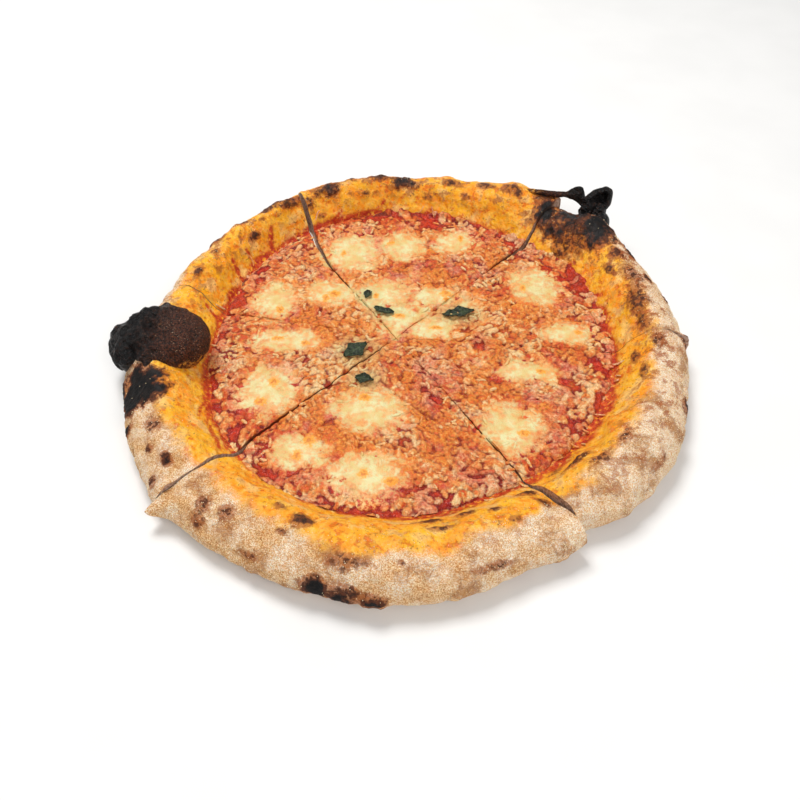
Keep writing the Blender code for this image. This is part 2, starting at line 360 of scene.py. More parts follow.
# %% Stations and the section
RIM_STATIONS = np.array((
    (0, 0.131, 0.169, 0.027),
    (30, 0.128, 0.167, 0.028),
    (60, 0.124, 0.161, 0.027),
    (90, 0.127, 0.154, 0.026),
    (120, 0.125, 0.149, 0.027),
    (150, 0.114, 0.144, 0.027),
    (180, 0.110, 0.150, 0.026),
    (210, 0.117, 0.166, 0.026),
    (240, 0.123, 0.173, 0.025),
    (270, 0.126, 0.177, 0.027),
    (300, 0.125, 0.172, 0.026),
    (330, 0.129, 0.175, 0.027),
))
INNER, OUTER, HEIGHT = 1, 2, 3
CREST_AT, SIDE_HEIGHT, UNDERCUT, INNER_SWELL = 0.55, 0.42, 0.30, 1.25
RIM_LUMPS = ((7, 0.6, 0.045), (11, 2.1, 0.035), (17, 4.0, 0.020))
PINCH_WIDTH = 14 * MM


def around(angles, values):
    """A smooth closed curve through values that stand evenly around the pizza."""
    values = np.asarray(values, float)
    place = np.mod(angles, 360.0) * len(values) / 360.0
    first = np.floor(place).astype(int) % len(values)
    share = place - np.floor(place)
    before, here, after, later = (values[(first + k) % len(values)] for k in (-1, 0, 1, 2))
    bend = 2 * before - 5 * here + 4 * after - later
    twist = 3 * (here - after) + later - before
    return here + 0.5 * share * (after - before + share * (bend + share * twist))


def rim_edges(angles):
    """Inner and outer radius of the rim."""
    return around(angles, RIM_STATIONS[:, INNER]), around(angles, RIM_STATIONS[:, OUTER])


def rim_height(angles):
    """Height of the crest with its lumps."""
    plain = around(angles, RIM_STATIONS[:, HEIGHT])
    waves = sum(share * np.sin(lumps * np.radians(angles) + phase)
                for lumps, phase, share in RIM_LUMPS)
    return plain * (1 + waves)


def pressed(level, angles, radius, slice_name):
    """Lowers the rim beside the cuts, most of all on its inner slope."""
    inner, outer = rim_edges(angles)
    weight = 1 - 0.65 * ramp((radius - inner) / (outer - inner), 0.35, 0.85)
    for cut, pinch in zip(SLICES[slice_name], PINCHES[slice_name]):
        away = outer * np.radians(np.abs(angles - cut)) / PINCH_WIDTH
        level = level - np.maximum(level - DOUGH, 0) * pinch * weight * np.exp(-away * away)
    return level


def slope_level(angles, radius, slice_name):
    """Height of the dough's upper side at a radius from the middle to the crest."""
    inner, outer = rim_edges(angles)
    share = np.clip((radius - inner) / (CREST_AT * (outer - inner)), 0, 1)
    rise = np.sin(share * math.pi / 2) ** INNER_SWELL
    level = DOUGH + rise * (rim_height(angles) - DOUGH)
    return pressed(level, angles, radius, slice_name)


def section(angles, stages, slice_name):
    """Radius and height at each stage and angle, as two grids.

    Stage 0 is the tip, 1 the foot of the inner slope, 2 the crest and 3 the outermost edge.
    """
    angles = np.asarray(angles, float)[None, :]
    stages = np.asarray(stages, float)[:, None]
    inner, outer = rim_edges(angles)
    height = rim_height(angles)
    crest = inner + CREST_AT * (outer - inner)
    side = SIDE_HEIGHT * height
    fall = np.clip(stages - 2, 0, 1) * math.pi / 2
    radius = inner * np.minimum(stages, 1) + np.clip(stages - 1, 0, 1) * (crest - inner)
    radius = radius + (outer - crest) * np.sin(fall)
    level = slope_level(angles, np.minimum(radius, crest), slice_name)
    level = np.where(stages > 2, pressed(side + (height - side) * np.cos(fall), angles, radius,
                                         slice_name), level)
    return radius, level


def underside(angles, radius):
    """Height of the dough's underside: flat, then tucked up to the outermost edge."""
    inner, outer = rim_edges(angles)
    foot = outer - UNDERCUT * (outer - inner)
    out = np.clip((radius - foot) / (outer - foot), 0, 1)
    return SIDE_HEIGHT * rim_height(angles) * (1 - np.sqrt(1 - out * out))


def to_place(angles, radius, level):
    """XYZ about the crossing from degrees, radius and height."""
    turn = np.radians(angles)
    return np.stack(np.broadcast_arrays(radius * np.cos(turn), radius * np.sin(turn), level), -1)


# %% [markdown]
# ## Scorched places
#
# A pizza oven's floor and flames leave marks that bakers call leoparding: thin blisters burn black
# while the dough beside them stays gold. Each mark is listed as a baker would point at it:
# angle, distance from the middle, length around, width across, and how burnt it is.

# %% Scorch marks, blisters and creases
# degrees, millimetres out, millimetres long, millimetres wide, strength
SCORCHES = (
    (88, 141, 20, 12, 1.2), (95, 142, 20, 9, 1.0), (112, 138, 19, 13, 1.1), (120, 134, 12, 9, 0.7),
    (74, 142, 16, 6, 0.75), (64, 143, 15, 6, 0.75), (56, 144, 16, 8, 0.9), (125, 136, 16, 9, 0.85),
    (139, 126, 11, 7, 1.0), (140, 138, 22, 8, 0.9), (130, 139, 22, 9, 0.95),
    (148, 139, 20, 7, 0.85), (163, 129, 8, 5, 0.9), (104, 143, 18, 6, 0.7), (80, 134, 8, 5, 0.5),
    (100, 134, 8, 5, 0.5), (153, 131, 9, 6, 0.6), (134, 131, 8, 5, 0.6), (69, 136, 9, 5, 0.55),
    (116, 129, 8, 5, 0.5), (14, 150, 28, 11, 0.72), (19, 142, 11, 6, 0.8), (6, 147, 28, 14, 0.72),
    (359, 146, 20, 12, 0.7), (352, 152, 16, 10, 0.6), (349, 141, 13, 8, 0.95),
    (344, 146, 12, 7, 0.7), (11, 158, 13, 3, 1.1), (354, 168, 12, 8, 1.1), (338, 172, 11, 12, 1.2),
    (6, 165, 17, 5, 1.0), (21, 160, 13, 6, 1.1), (313, 137, 20, 9, 1.0), (315, 147, 20, 9, 0.8),
    (321, 150, 16, 7, 0.6), (309, 131, 12, 5, 0.6), (299, 137, 15, 8, 1.15),
    (300, 147, 13, 9, 0.75), (284, 138, 13, 7, 1.05), (277, 137, 17, 8, 1.2),
    (279, 145, 14, 5, 0.7), (253, 149, 11, 9, 1.05), (250, 157, 8, 5, 0.8), (247, 144, 10, 5, 0.6),
    (239, 157, 12, 10, 0.6), (234, 160, 10, 8, 0.6), (235, 167, 10, 8, 0.55),
    (263, 165, 25, 10, 0.6), (271, 164, 5, 4, 0.7), (290, 141, 9, 5, 0.8), (292, 152, 8, 5, 0.6),
    (258, 176, 15, 15, 1.6), (262, 177, 17, 15, 1.6), (267, 178, 15, 10, 1.4),
    (286, 170, 24, 5, 0.6), (202, 152, 26, 32, 2.6), (199, 163, 20, 18, 2.3),
    (206, 158, 10, 14, 1.9), (209, 164, 6, 9, 1.8), (221, 156, 8, 5, 1.15), (217, 160, 6, 5, 0.9),
    (222, 167, 7, 6, 0.8), (213, 151, 14, 11, 0.55), (38, 149, 54, 42, 1.35),
    (31, 154, 36, 34, 1.6), (49, 157, 16, 12, 1.4), (45, 147, 18, 28, 1.7), (22, 151, 14, 9, 0.9),
    (36, 137, 34, 15, 0.6), (184, 145, 44, 30, 1.6), (322, 171, 16, 6, 0.5), (246, 171, 14, 4, 0.5),
)
# degrees and millimetres out at each end, depth and width in millimetres; below zero is a ridge
CREASES = (
    (16, 143, 11, 158, 1.6, 1.6), (222, 152, 221, 160, 0.9, 1.2), (340, 150, 333, 166, 0.8, 2.2),
    (246, 150, 251, 163, 0.7, 1.6), (269, 150, 268, 164, 0.5, 1.3),
    (191, 160, 194.5, 149, -1.8, 1.8), (194.5, 149, 198, 137, -1.8, 1.8),
    (38, 159, 34, 157, 1.8, 1.4), (34, 157, 31, 150, 1.4, 1.6), (60, 134, 57, 146, 0.6, 1.6),
    (104, 132, 101, 146, 0.6, 1.8), (150, 121, 149, 139, 0.9, 2.4), (131, 128, 134, 141, 0.6, 1.8),
    (285, 145, 282, 166, 0.6, 2.0), (316, 148, 312, 168, 0.7, 2.0),
)
# places where the rim blew up further or, below zero, sank: degrees and millimetres out, length,
# width, rise
PUFFS = (
    (33, 157, 28, 26, 7.0), (55, 150, 26, 26, 5.0), (12, 148, 30, 22, 1.6), (190, 140, 34, 26, 4.0),
    (136, 133, 40, 20, 2.0), (352, 150, 26, 22, -1.2), (214, 146, 40, 26, 1.5),
    (247, 156, 40, 26, 1.6), (286, 152, 36, 24, 1.5), (320, 156, 40, 24, 1.6),
    (265, 148, 20, 20, -1.0), (70, 140, 30, 18, -1.0), (96, 138, 36, 20, 1.2),
    (155, 128, 16, 16, -1.2),
)
# torn or pressed corners: slice, end, push outward, push upward and width in millimetres, and
# how much thinner the corner got
EARS = (
    ("front", 0, 9.0, 2.0, 8.0, 0.6), ("front", 1, 1.0, 3.0, 9.0, 0.0),
    ("back_right", 0, 2.0, 1.5, 3.5, 0.0), ("left", 1, 3.0, 0.0, 8.0, 0.0),
    ("front_right", 0, -6.0, 0.0, 20.0, 0.0), ("back", 1, 1.0, 2.0, 8.0, 0.0),
    ("back", 0, 0.0, 8.0, 15.0, 0.0),
)
EAR_LEVEL = 9 * MM
# tomato that ran over the inner slope: degrees and millimetres out at both ends, width
DRIPS = (
    (204, 119, 223, 130, 3.2), (213, 117, 223, 125, 3.4), (207, 122, 212, 127, 2.0),
    (152, 114, 150, 122, 3.4), (143, 116, 144, 123, 3.0), (136, 119, 133, 127, 3.4),
    (112, 124, 109, 130, 3.4), (98, 125, 94, 132, 3.6), (82, 125, 79, 130, 3.2),
    (66, 123, 69, 129, 3.0), (33, 126, 29, 134, 3.0), (18, 128, 15, 135, 2.8),
    (5, 129, 7, 134, 2.6), (172, 109, 170, 119, 2.8), (180, 109, 183, 117, 2.4),
)


def surface_place(angle, radius):
    """The point on the rim's upper side at an angle and a distance from the middle."""
    radii, levels = section([angle], np.linspace(1.0, 3.0, 201), slice_at(angle % 360))
    nearest = np.argmin(np.abs(radii[:, 0] - radius))
    return to_place(angle, radii[nearest, 0], levels[nearest, 0])


def near_line(points, start, end):
    """Each point's distance from a straight line and how far along it lies, from 0 to 1."""
    line = end - start
    share = np.clip((points - start) @ line / (line @ line), 0, 1)
    return np.linalg.norm(points - start - share[..., None] * line, axis=-1), share


def near_rim_line(points, first, first_out, last, last_out):
    """near_line between two places of the rim, each in degrees and millimetres out."""
    ends = (surface_place(angle, out * MM) for angle, out in ((first, first_out), (last, last_out)))
    return near_line(points, *ends)


def scorch_amount(points):
    """How burnt each point is: a mark's strength in its middle and a quarter of it at its edge."""
    ragged = 0.65 * noise(points, 6 * MM, 31, 4)
    burnt = np.zeros(points.shape[:-1])
    ridges = [crease for crease in CREASES if crease[4] < 0]
    for angle, out, along, across, strength in SCORCHES:
        middle = surface_place(angle, out * MM)
        tangent = np.append(directions(angle)[1], 0.0)
        away = points - middle
        sideways = away @ tangent
        rest = np.linalg.norm(away - sideways[..., None] * tangent, axis=-1)
        far = np.hypot(sideways / (along * MM / 2), rest / (across * MM / 2))
        burnt = np.maximum(burnt, strength * np.clip(1.25 - far + ragged, 0, 1) * (far < 1.9))
    for *line, _, wide in ridges:
        # A ridge stood in the draught and stayed pale.
        burnt = burnt * ramp(near_rim_line(points, *line)[0] / (wide * MM), 0.7, 1.5)
    return burnt


def puff_rise(points):
    """How much further the rim blew up at each point, in metres."""
    rise = np.zeros(points.shape[:-1])
    for angle, out, along, across, height in PUFFS:
        outward, sideways = directions(angle)
        away = points[..., :2] - out * MM * outward
        far = np.hypot(away @ sideways / (along * MM / 2), away @ outward / (across * MM / 2))
        rise += height * MM * np.exp(-(far**2))
    return rise


def crease_depth(points):
    """How deep the creases pull the surface in, in metres."""
    depth = np.zeros(points.shape[:-1])
    wobble = 1 + 0.4 * noise(points, 6 * MM, 77)
    for *line, deep, wide in CREASES:
        away, share = near_rim_line(points, *line)
        fade = np.sin(np.pi * np.clip(share, 0.02, 0.98)) ** 0.5
        depth += deep * MM * fade * np.exp(-((away / (wide * MM * wobble)) ** 2))
    return depth


def drip_amount(points):
    """1 where sauce ran over the rim's inner slope."""
    wet = np.zeros(points.shape[:-1])
    wobble = 1 + 0.5 * noise(points, 4 * MM, 78, 2)
    for *line, wide in DRIPS:
        away, _ = near_rim_line(points, *line)
        wet = np.maximum(wet, ramp(away / (wide * MM * wobble / 2), 1.4, 0.7))
    return wet


print(len(SCORCHES), "scorch marks,", len(CREASES), "creases and", len(DRIPS), "drips")

# %% [markdown]
# ## Colours and node helpers
#
# Colours are written as the hex values that a colour picker shows. Blender mixes light in linear
# values, so one function converts them. A second small function adds any shader node with its
# settings and its links.

# %% Colour and node helpers
def linear(code):
    """Linear red, green, blue and alpha from an sRGB hex value such as F2E0B0."""
    parts = [int(code[k:k + 2], 16) / 255 for k in (0, 2, 4)]
    return (*(p / 12.92 if p <= 0.04045 else ((p + 0.055) / 1.055) ** 2.4 for p in parts), 1.0)


def node(tree, kind, links=None, **settings):
    """Adds a shader node. A setting names a property or an input; links maps inputs to outputs."""
    made = tree.nodes.new(kind)
    for key, value in settings.items():
        if hasattr(made, key):
            setattr(made, key, value)
        else:
            made.inputs[key.replace("_", " ")].default_value = value
    for key, output in (links or {}).items():
        tree.links.new(output, made.inputs[key])
    return made


def new_finish(name):
    """An empty node material, its tree and its Principled shader."""
    finish = bpy.data.materials.new(name)
    finish.use_nodes = True
    return finish, finish.node_tree, finish.node_tree.nodes["Principled BSDF"]


def reading(tree, name):
    """The value that a mesh carries under a name."""
    return node(tree, "ShaderNodeAttribute", attribute_name=name).outputs["Fac"]


def blend(tree, share, low, high):
    """A colour between two. Each may be a hex value or another node's output."""
    made = node(tree, "ShaderNodeMix", data_type="RGBA", clamp_factor=True)
    tree.links.new(share, made.inputs[0])
    for slot, colour in ((6, low), (7, high)):
        if isinstance(colour, str):
            made.inputs[slot].default_value = linear(colour)
        else:
            tree.links.new(colour, made.inputs[slot])
    return made.outputs[2]


def spread(tree, value, low, high, to_low=0.0, to_high=1.0):
    """A value spread from one range onto another, smoothly and held inside it."""
    made = node(tree, "ShaderNodeMapRange", {"Value": value}, From_Min=low, From_Max=high,
                To_Min=to_low, To_Max=to_high, interpolation_type="SMOOTHSTEP")
    return made.outputs[0]


def grain(tree, size, detail=2.0, low=0.3, high=0.7, roughness=0.5, distortion=0.0):
    """Noise with lumps of a real size in metres, spread between two levels of the raw noise."""
    where = node(tree, "ShaderNodeTexCoord").outputs["Object"]
    made = node(tree, "ShaderNodeTexNoise", {"Vector": where}, Scale=1 / size, Detail=detail,
                Roughness=roughness, Distortion=distortion)
    return spread(tree, made.outputs[0], low, high)


def sums(tree, operation, first, second, clamp=False):
    """One step of arithmetic between outputs or numbers."""
    made = node(tree, "ShaderNodeMath", operation=operation, use_clamp=clamp)
    for slot, value in enumerate((first, second)):
        if isinstance(value, (int, float)):
            made.inputs[slot].default_value = value
        else:
            tree.links.new(value, made.inputs[slot])
    return made.outputs[0]


def times(tree, *factors):
    """The product of outputs or numbers."""
    total = factors[0]
    for factor in factors[1:]:
        total = sums(tree, "MULTIPLY", total, factor)
    return total


def inverse(tree, value):
    """1 minus an output."""
    return sums(tree, "SUBTRACT", 1.0, value)


def set_inputs(tree, shader, **inputs):
    """Fills the shader's inputs: a number is set and an output is linked."""
    for key, value in inputs.items():
        socket = shader.inputs[key.replace("_", " ")]
        if isinstance(value, (int, float)):
            socket.default_value = value
        else:
            tree.links.new(value, socket)


def frayed(tree, value, ragged, amount):
    """A value whose borders are broken up by noise."""
    return sums(tree, "ADD", value, times(tree, sums(tree, "SUBTRACT", ragged, 0.5), amount))


def relief(tree, shader, height, depth, before=None):
    """Adds a bump of a real depth in metres and returns its normal."""
    made = node(tree, "ShaderNodeBump", {"Height": height}, Distance=depth, Strength=1.0)
    if before is not None:
        tree.links.new(before, made.inputs["Normal"])
    tree.links.new(made.outputs[0], shader.inputs["Normal"])
    return made.outputs[0]


# %% [markdown]
# ## Baked dough
#
# Stone-baked wheat dough is dull and floury where it faced away from the flame, and golden where
# oil and sauce ran on it. Burnt skin goes brown, then black, and keeps ragged edges. The mesh says
# where each happens; noise nodes break the borders up and add the flour's grain and small specks.

# %% Baked dough finish
def baked_dough():
    """Flour, gold, freckles, scorch and crumb darkened with painted shade, from the values on the
    mesh.
    """
    finish, tree, shader = new_finish("stone_baked_dough")
    gold, burnt, cut, wet, toast, dusted = (reading(tree, name) for name in
                                            ("gold", "burnt", "cut", "wet", "toast", "dusted"))
    # Real flour is finer than this. Its grains are drawn larger so that they show.
    flour = grain(tree, 0.6 * MM, 1.0, 0.34, 0.66)
    dust = grain(tree, 11 * MM, 5.0, 0.35, 0.65, roughness=0.6)
    blotch = grain(tree, 13 * MM, 3.0, 0.38, 0.62)
    fine_blotch = grain(tree, 3.0 * MM, 3.0, 0.38, 0.64)
    ragged = grain(tree, 2.0 * MM, 4.0, 0.28, 0.72, roughness=0.7)
    pale = blend(tree, flour, "C27E3E", "FAD29A")
    dusty = blend(tree, flour, "E6B27A", "FFF4DE")
    soot = grain(tree, 0.9 * MM, 1.0, 0.64, 0.72)
    pale = blend(tree, times(tree, soot, 0.45), pale, "7E4C24")
    dusty = blend(tree, times(tree, soot, 0.3), dusty, "8E5C30")
    pale = blend(tree, sums(tree, "ADD", dust, dusted, True), pale, dusty)
    stain = times(tree, grain(tree, 17 * MM, 4.0, 0.50, 0.64, roughness=0.6), 0.75)
    pale = blend(tree, stain, pale, blend(tree, ragged, "9C5A2A", "C08850"))
    golden = blend(tree, blotch, "FFB412", "FF980A")
    # Small pale yellow patches are painted highlights.
    golden = blend(tree, times(tree, fine_blotch, 0.55), golden, "FFCC50")
    rusty = grain(tree, 5 * MM, 6.0, 0.53, 0.64, roughness=0.7)
    golden = blend(tree, times(tree, rusty, 0.70), golden, "E05A08")
    # Wider pale patches, about a centimetre across, are painted highlights too.
    golden = blend(tree, times(tree, grain(tree, 12 * MM, 3.0, 0.52, 0.64), 0.55), golden, "FFD688")
    skin = blend(tree, frayed(tree, gold, ragged, 0.35), pale, golden)
    # Hairline cracks split the dry, floury skin here and there.
    where = node(tree, "ShaderNodeTexCoord").outputs["Object"]
    shaken = node(tree, "ShaderNodeTexNoise", {"Vector": where}, Scale=1 / (5 * MM), Detail=2.0)
    bent = node(tree, "ShaderNodeMix", {"A": where, "B": shaken.outputs[1]}, data_type="VECTOR",
                Factor=0.004)
    cells = node(tree, "ShaderNodeTexVoronoi", {"Vector": bent.outputs[1]},
                 feature="DISTANCE_TO_EDGE", Scale=1 / (8 * MM))
    crack = spread(tree, cells.outputs[0], 0.045, 0.0)
    crack = times(tree, crack, grain(tree, 17 * MM, 1.0, 0.50, 0.62), inverse(tree, gold))
    skin = blend(tree, times(tree, crack, 0.5), skin, "8A5428")
    stain = times(tree, wet, grain(tree, 2.5 * MM, 2.0, 0.25, 0.50))
    skin = blend(tree, stain, skin, blend(tree, fine_blotch, "B8301A", "D9561E"))
    # Freckles are burst pinholes, under a millimetre across.
    freckle = grain(tree, 1.6 * MM, 2.0, 0.62, 0.70)
    freckle = times(tree, freckle, grain(tree, 12 * MM, 2.0, 0.38, 0.56),
                    sums(tree, "ADD", times(tree, gold, 0.45), 0.15))
    skin = blend(tree, freckle, skin, "50280E")
    mottle = times(tree, toast, grain(tree, 6 * MM, 5.0, 0.505, 0.605, roughness=0.65))
    skin = blend(tree, times(tree, mottle, 0.80), skin, "A24A0C")
    # Scorch goes through rust and brown to black. Its border is soft, with a few darker flecks.
    edge = frayed(tree, burnt, ragged, 0.40)
    rust = blend(tree, ragged, "B4622A", "8E4620")
    skin = blend(tree, spread(tree, edge, 0.0, 0.45, 0.0, 0.75), skin, rust)
    fleck = grain(tree, 2.6 * MM, 3.0, 0.36, 0.64, roughness=0.6, distortion=0.4)
    singed = blend(tree, ragged, "5E2C18", "2E150D")
    black = spread(tree, frayed(tree, burnt, fleck, 0.6), 0.35, 0.85, 0.0, 0.92)
    skin = blend(tree, black, skin, singed)
    ash = blend(tree, fine_blotch, "0A0808", "1C1512")
    skin = blend(tree, spread(tree, edge, 0.85, 1.30), skin, ash)
    pores = grain(tree, 1.6 * MM, 3.0, 0.35, 0.60)
    # The cut faces get a grey brown that is partly the crumb's own colour and partly painted shade,
    # as they lie in the narrow gaps.
    crumb_and_shade = times(tree, cut, spread(tree, burnt, 0.3, 1.0, 1.0, 0.1))
    colour = blend(tree, crumb_and_shade, skin, blend(tree, pores, "97745F", "C4A491"))
    rough = spread(tree, sums(tree, "ADD", gold, wet), 0.0, 1.6, 0.85, 0.28)
    set_inputs(tree, shader, Base_Color=colour, Roughness=rough, IOR=1.45,
               Specular_IOR_Level=0.35, Subsurface_Weight=0.06, Subsurface_Scale=2 * MM)
    normal = relief(tree, shader, flour, 0.12 * MM)
    rough_skin = times(tree, ragged, inverse(tree, cut), spread(tree, gold, 0.0, 1.0, 1.0, 0.45))
    normal = relief(tree, shader, rough_skin, 0.5 * MM, normal)
    normal = relief(tree, shader, times(tree, fine_blotch, gold), 0.2 * MM, normal)
    normal = relief(tree, shader, times(tree, rusty, gold), -0.2 * MM, normal)
    relief(tree, shader, times(tree, pores, cut), 0.12 * MM, normal)
    return finish


DOUGH_FINISH = baked_dough()

# %% [markdown]
# ## Dough slices
#
# Each slice is one closed shell: its upper side, the underside and two cut faces. The upper side
# is pushed in and out along its own normals: wide puffs, small wrinkles, a blister under each
# scorch, creases. All of it fades out under the sauce, where nothing shows.

# %% How the rim is coloured
# how far out the gold reaches across the rim, from 0 at the sauce to 1 at the outer edge, how
# much the crest is mottled brown and how thick the flour lies, all at twelve places around
GOLD_REACH = (0.51, 0.66, 0.95, 1.05, 1.00, 0.85, 0.71, 0.58, 0.51, 0.70, 0.54, 0.45)
MOTTLED = (1.0, 1.0, 0.9, 0.9, 1.0, 0.9, 0.6, 0.5, 0.25, 0.3, 0.5, 0.8)
DUSTED = (0.55, 0.3, 0.0, 0.0, 0.0, 0.0, 0.0, 0.0, 0.0, 0.1, 0.3, 0.65)
RIM_SPOTS = []


def rim_values(points, angles, across):
    """Gold, scorch, sauce, mottling and flour of the rim's skin."""
    reach = around(angles, GOLD_REACH) + 0.16 * noise(points, 11 * MM, 5, 3)
    film = 0.05 + 0.05 * noise(points, 8 * MM, 12, 2)
    wet = np.maximum(ramp(across, film + 0.06, film), drip_amount(points))
    crest = ramp(across, 0.12, 0.35) * ramp(across, 1.0, 0.72)
    return {
        "gold": ramp(across, reach + 0.10, reach - 0.10),
        "burnt": scorch_amount(points),
        "wet": wet,
        "toast": crest * around(angles, MOTTLED),
        "dusted": np.broadcast_to(around(angles, DUSTED), across.shape),
    }


# %% The slices
COLUMN, RIM_RADIUS = 1.15 * MM, 150 * MM
RIM_STAGES = np.concatenate((
    np.linspace(0, 0.85, 7),
    np.linspace(0.92, 1.0, 4)[:-1],
    np.linspace(1.0, 2.0, 26)[:-1],
    2 + np.linspace(0, 1, 30),
))
SIDE_HOLD = (1.0, 0.7, 0.4, 0.2)
# an edge between two faces stays sharp above this angle in degrees
CUT_SHARP = 50
CUT_ROWS = (0, 0.04, 0.10, 0.2, 0.3, 0.4, 0.5, 0.6, 0.7, 0.8, 0.9, 0.96, 1)


def pushed(points, normals, burnt, strength):
    """Moves the crust's points along their normals: puffs, wrinkles, blisters and creases."""
    puff = 1.8 * noise(points, 30 * MM, 3) + 1.1 * noise(points, 12 * MM, 8)
    puff = puff + 0.8 * ramp(noise(points, 9 * MM, 9), 0.15, 0.65)
    wrinkle = 0.70 * noise(points, 5 * MM, 21, 3) + 0.20 * noise(points, 1.9 * MM, 22)
    blister = 0.9 * ramp(burnt, 0.15, 0.9) * (1 + 0.8 * noise(points, 3 * MM, 41, 2))
    move = (puff + wrinkle + blister) * MM - crease_depth(points)
    return points + normals * (move * strength)[..., None]


def hold_sides(points, before, slice_name):
    """Puts a grid's edges back onto the cutting planes, since the wheel cuts straight down."""
    for side, (_, _, inward) in zip((1, -1), side_normals(slice_name)):
        for step, share in enumerate(SIDE_HOLD):
            column = step if side > 0 else -1 - step
            drift = (points[:, column, :2] - before[:, column, :2]) @ inward
            points[:, column, :2] -= share * drift[:, None] * inward
    return points


def corner_push(points, angles, across, slice_name):
    """Moves torn or pressed corners beside a cut in or out and up, and thins some."""
    radius = np.maximum(np.linalg.norm(points[..., :2], axis=-1), 1e-9)
    for name, end, outward, upward, wide, thinning in EARS:
        if name == slice_name:
            away = radius * np.radians(np.abs(angles - SLICES[slice_name][end])) / (wide * MM)
            share = np.exp(-(away**2)) * ramp(across, 0.55, 1.0)
            points[..., :2] *= (1 + share * outward * MM / radius)[..., None]
            points[..., 2] += share * (upward * MM + thinning * (EAR_LEVEL - points[..., 2]))
    return points


def dough_slice(slice_name):
    """One slice of dough with its rim."""
    start, end = SLICES[slice_name]
    turns = int(math.radians(end - start) * RIM_RADIUS / COLUMN)
    angles = np.linspace(start, end, turns)
    radius, level = section(angles, RIM_STAGES, slice_name)
    angles = np.broadcast_to(angles[None, :], radius.shape)
    upper = to_place(angles, radius, level)
    lower = to_place(angles, radius, underside(angles, radius))
    inner, outer = rim_edges(angles)
    across = np.clip((radius - inner) / (outer - inner), 0, 1)
    values = rim_values(upper, angles, across)
    fade = np.broadcast_to(ramp(RIM_STAGES, 0.97, 1.25)[:, None], radius.shape)
    upper = hold_sides(pushed(upper, facing(upper), values["burnt"], fade), upper, slice_name)
    upper[..., 2] += puff_rise(upper) * fade * ramp(across, 1.0, 0.85)
    lower = lower + (upper[-1] - lower[-1])[None] * ramp(across, 0.72, 1.0)[..., None]
    upper = open_cuts(corner_push(upper, angles, across, slice_name), slice_name)
    lower = open_cuts(corner_push(lower, angles, across, slice_name), slice_name, share=0.25)
    lower[-1] = upper[-1]
    lower[..., 2] = np.maximum(lower[..., 2], 0.0)
    upper[..., 2] = np.maximum(upper[..., 2], lower[..., 2])
    sides = [inward for _, _, inward in side_normals(slice_name)]

    def wall(side, row, share):
        deep = (0.2 * MM + 0.08 * MM * noise(row, 2.5 * MM, 55, 2)
                + 0.4 * MM * noise(row, 14 * MM, 56))
        deep = np.maximum(deep, -0.1 * MM) * math.sin(math.pi * share) ** 0.5
        return np.concatenate((deep[:, None] * sides[side], np.zeros((len(row), 1))), 1)

    points, faces, walls = slab_between(upper, lower, CUT_ROWS, wall)
    rest = points[2 * level.size:]
    marks = {key: np.concatenate((top.ravel(), 0 * top.ravel(), 0 * rest[:, 0]))
             for key, top in values.items()}
    hidden = np.concatenate((scorch_amount(lower).ravel(), scorch_amount(rest)))
    marks["burnt"][level.size:] = hidden
    marks["cut"] = walls
    RIM_SPOTS.append((upper, facing(upper), values, across))
    piece = make_piece(f"dough_{slice_name}", points + CROSSING, faces, DOUGH_FINISH, marks,
                       CUT_SHARP)
    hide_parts(f"crust_{slice_name}")


for slice_name in SLICES:
    dough_slice(slice_name)
print(sum(COUNTS.values()), "triangles in the dough")

# %% [markdown]
# ## Grated cheese on sauce, as a map
#
# Thousands of shreds of cheese lie on the sauce, and each has half melted. Working them out as
# separate meshes would be slow, so they are first drawn into a height map of the whole pizza, one
# rounded ridge for each shred, the higher one winning where two cross. A second map keeps a random
# tint for each shred, so that neighbours differ in colour.

# %% Where sauce, milk and oil lie
CELL = 0.4 * MM
REACH = 138 * MM
SIZE = int(2 * REACH / CELL)
axis = (np.arange(SIZE) + 0.5) * CELL - REACH
MAP_X, MAP_Y = np.meshgrid(axis, axis, indexing="ij")
MAP_PLACE = np.stack((MAP_X, MAP_Y, np.zeros_like(MAP_X)), -1)
MAP_RADIUS = np.hypot(MAP_X, MAP_Y)
MAP_ANGLE = np.degrees(np.arctan2(MAP_Y, MAP_X))
MAP_EDGE = around(MAP_ANGLE, RIM_STATIONS[:, INNER])
POOLS = sorted(node_name for node_name in BOXES if node_name.startswith("mozzarella"))
LEAVES = sorted(node_name for node_name in BOXES if node_name.startswith("basil"))

# places where little cheese fell and the sauce shows: degrees, millimetres out, half size
BARE_SAUCE = (
    (98, 118, 13), (78, 119, 12), (60, 112, 9), (42, 108, 8), (33, 121, 7), (20, 120, 6),
    (8, 112, 8), (352, 118, 11), (338, 112, 9), (325, 119, 10), (312, 113, 9), (292, 112, 8),
    (275, 117, 12), (262, 118, 12), (255, 108, 8), (244, 112, 9), (230, 112, 9), (218, 104, 10),
    (205, 104, 9), (190, 101, 6), (162, 104, 8), (150, 104, 8), (136, 112, 9), (125, 108, 8),
    (113, 112, 8), (8, 62, 10), (352, 52, 7), (60, 60, 6), (240, 78, 6), (152, 56, 5),
    (300, 84, 7), (330, 66, 6), (20, 80, 6), (215, 70, 6), (285, 60, 5), (262, 70, 5),
)
# places where milk from the pools ran between the shreds: degrees, millimetres out, half size,
# amount
MILKY = (
    (94, 10, 14, 0.8), (62, 25, 13, 0.8), (52, 44, 12, 0.7), (35, 56, 10, 0.6), (125, 52, 11, 0.7),
    (113, 38, 11, 0.7), (125, 66, 9, 0.5), (15, 60, 7, 0.4), (340, 50, 9, 0.5), (78, 59, 8, 0.4),
)


def place_of(node_name):
    """A solid's middle about the crossing and its half size."""
    low, high = BOXES[node_name]
    return (low + high) / 2 - CROSSING, (high - low) / 2


def map_away(angle, out):
    """Each map cell's distance from a place in degrees and millimetres out."""
    turn = math.radians(angle)
    return np.hypot(MAP_X - out * MM * math.cos(turn), MAP_Y - out * MM * math.sin(turn))


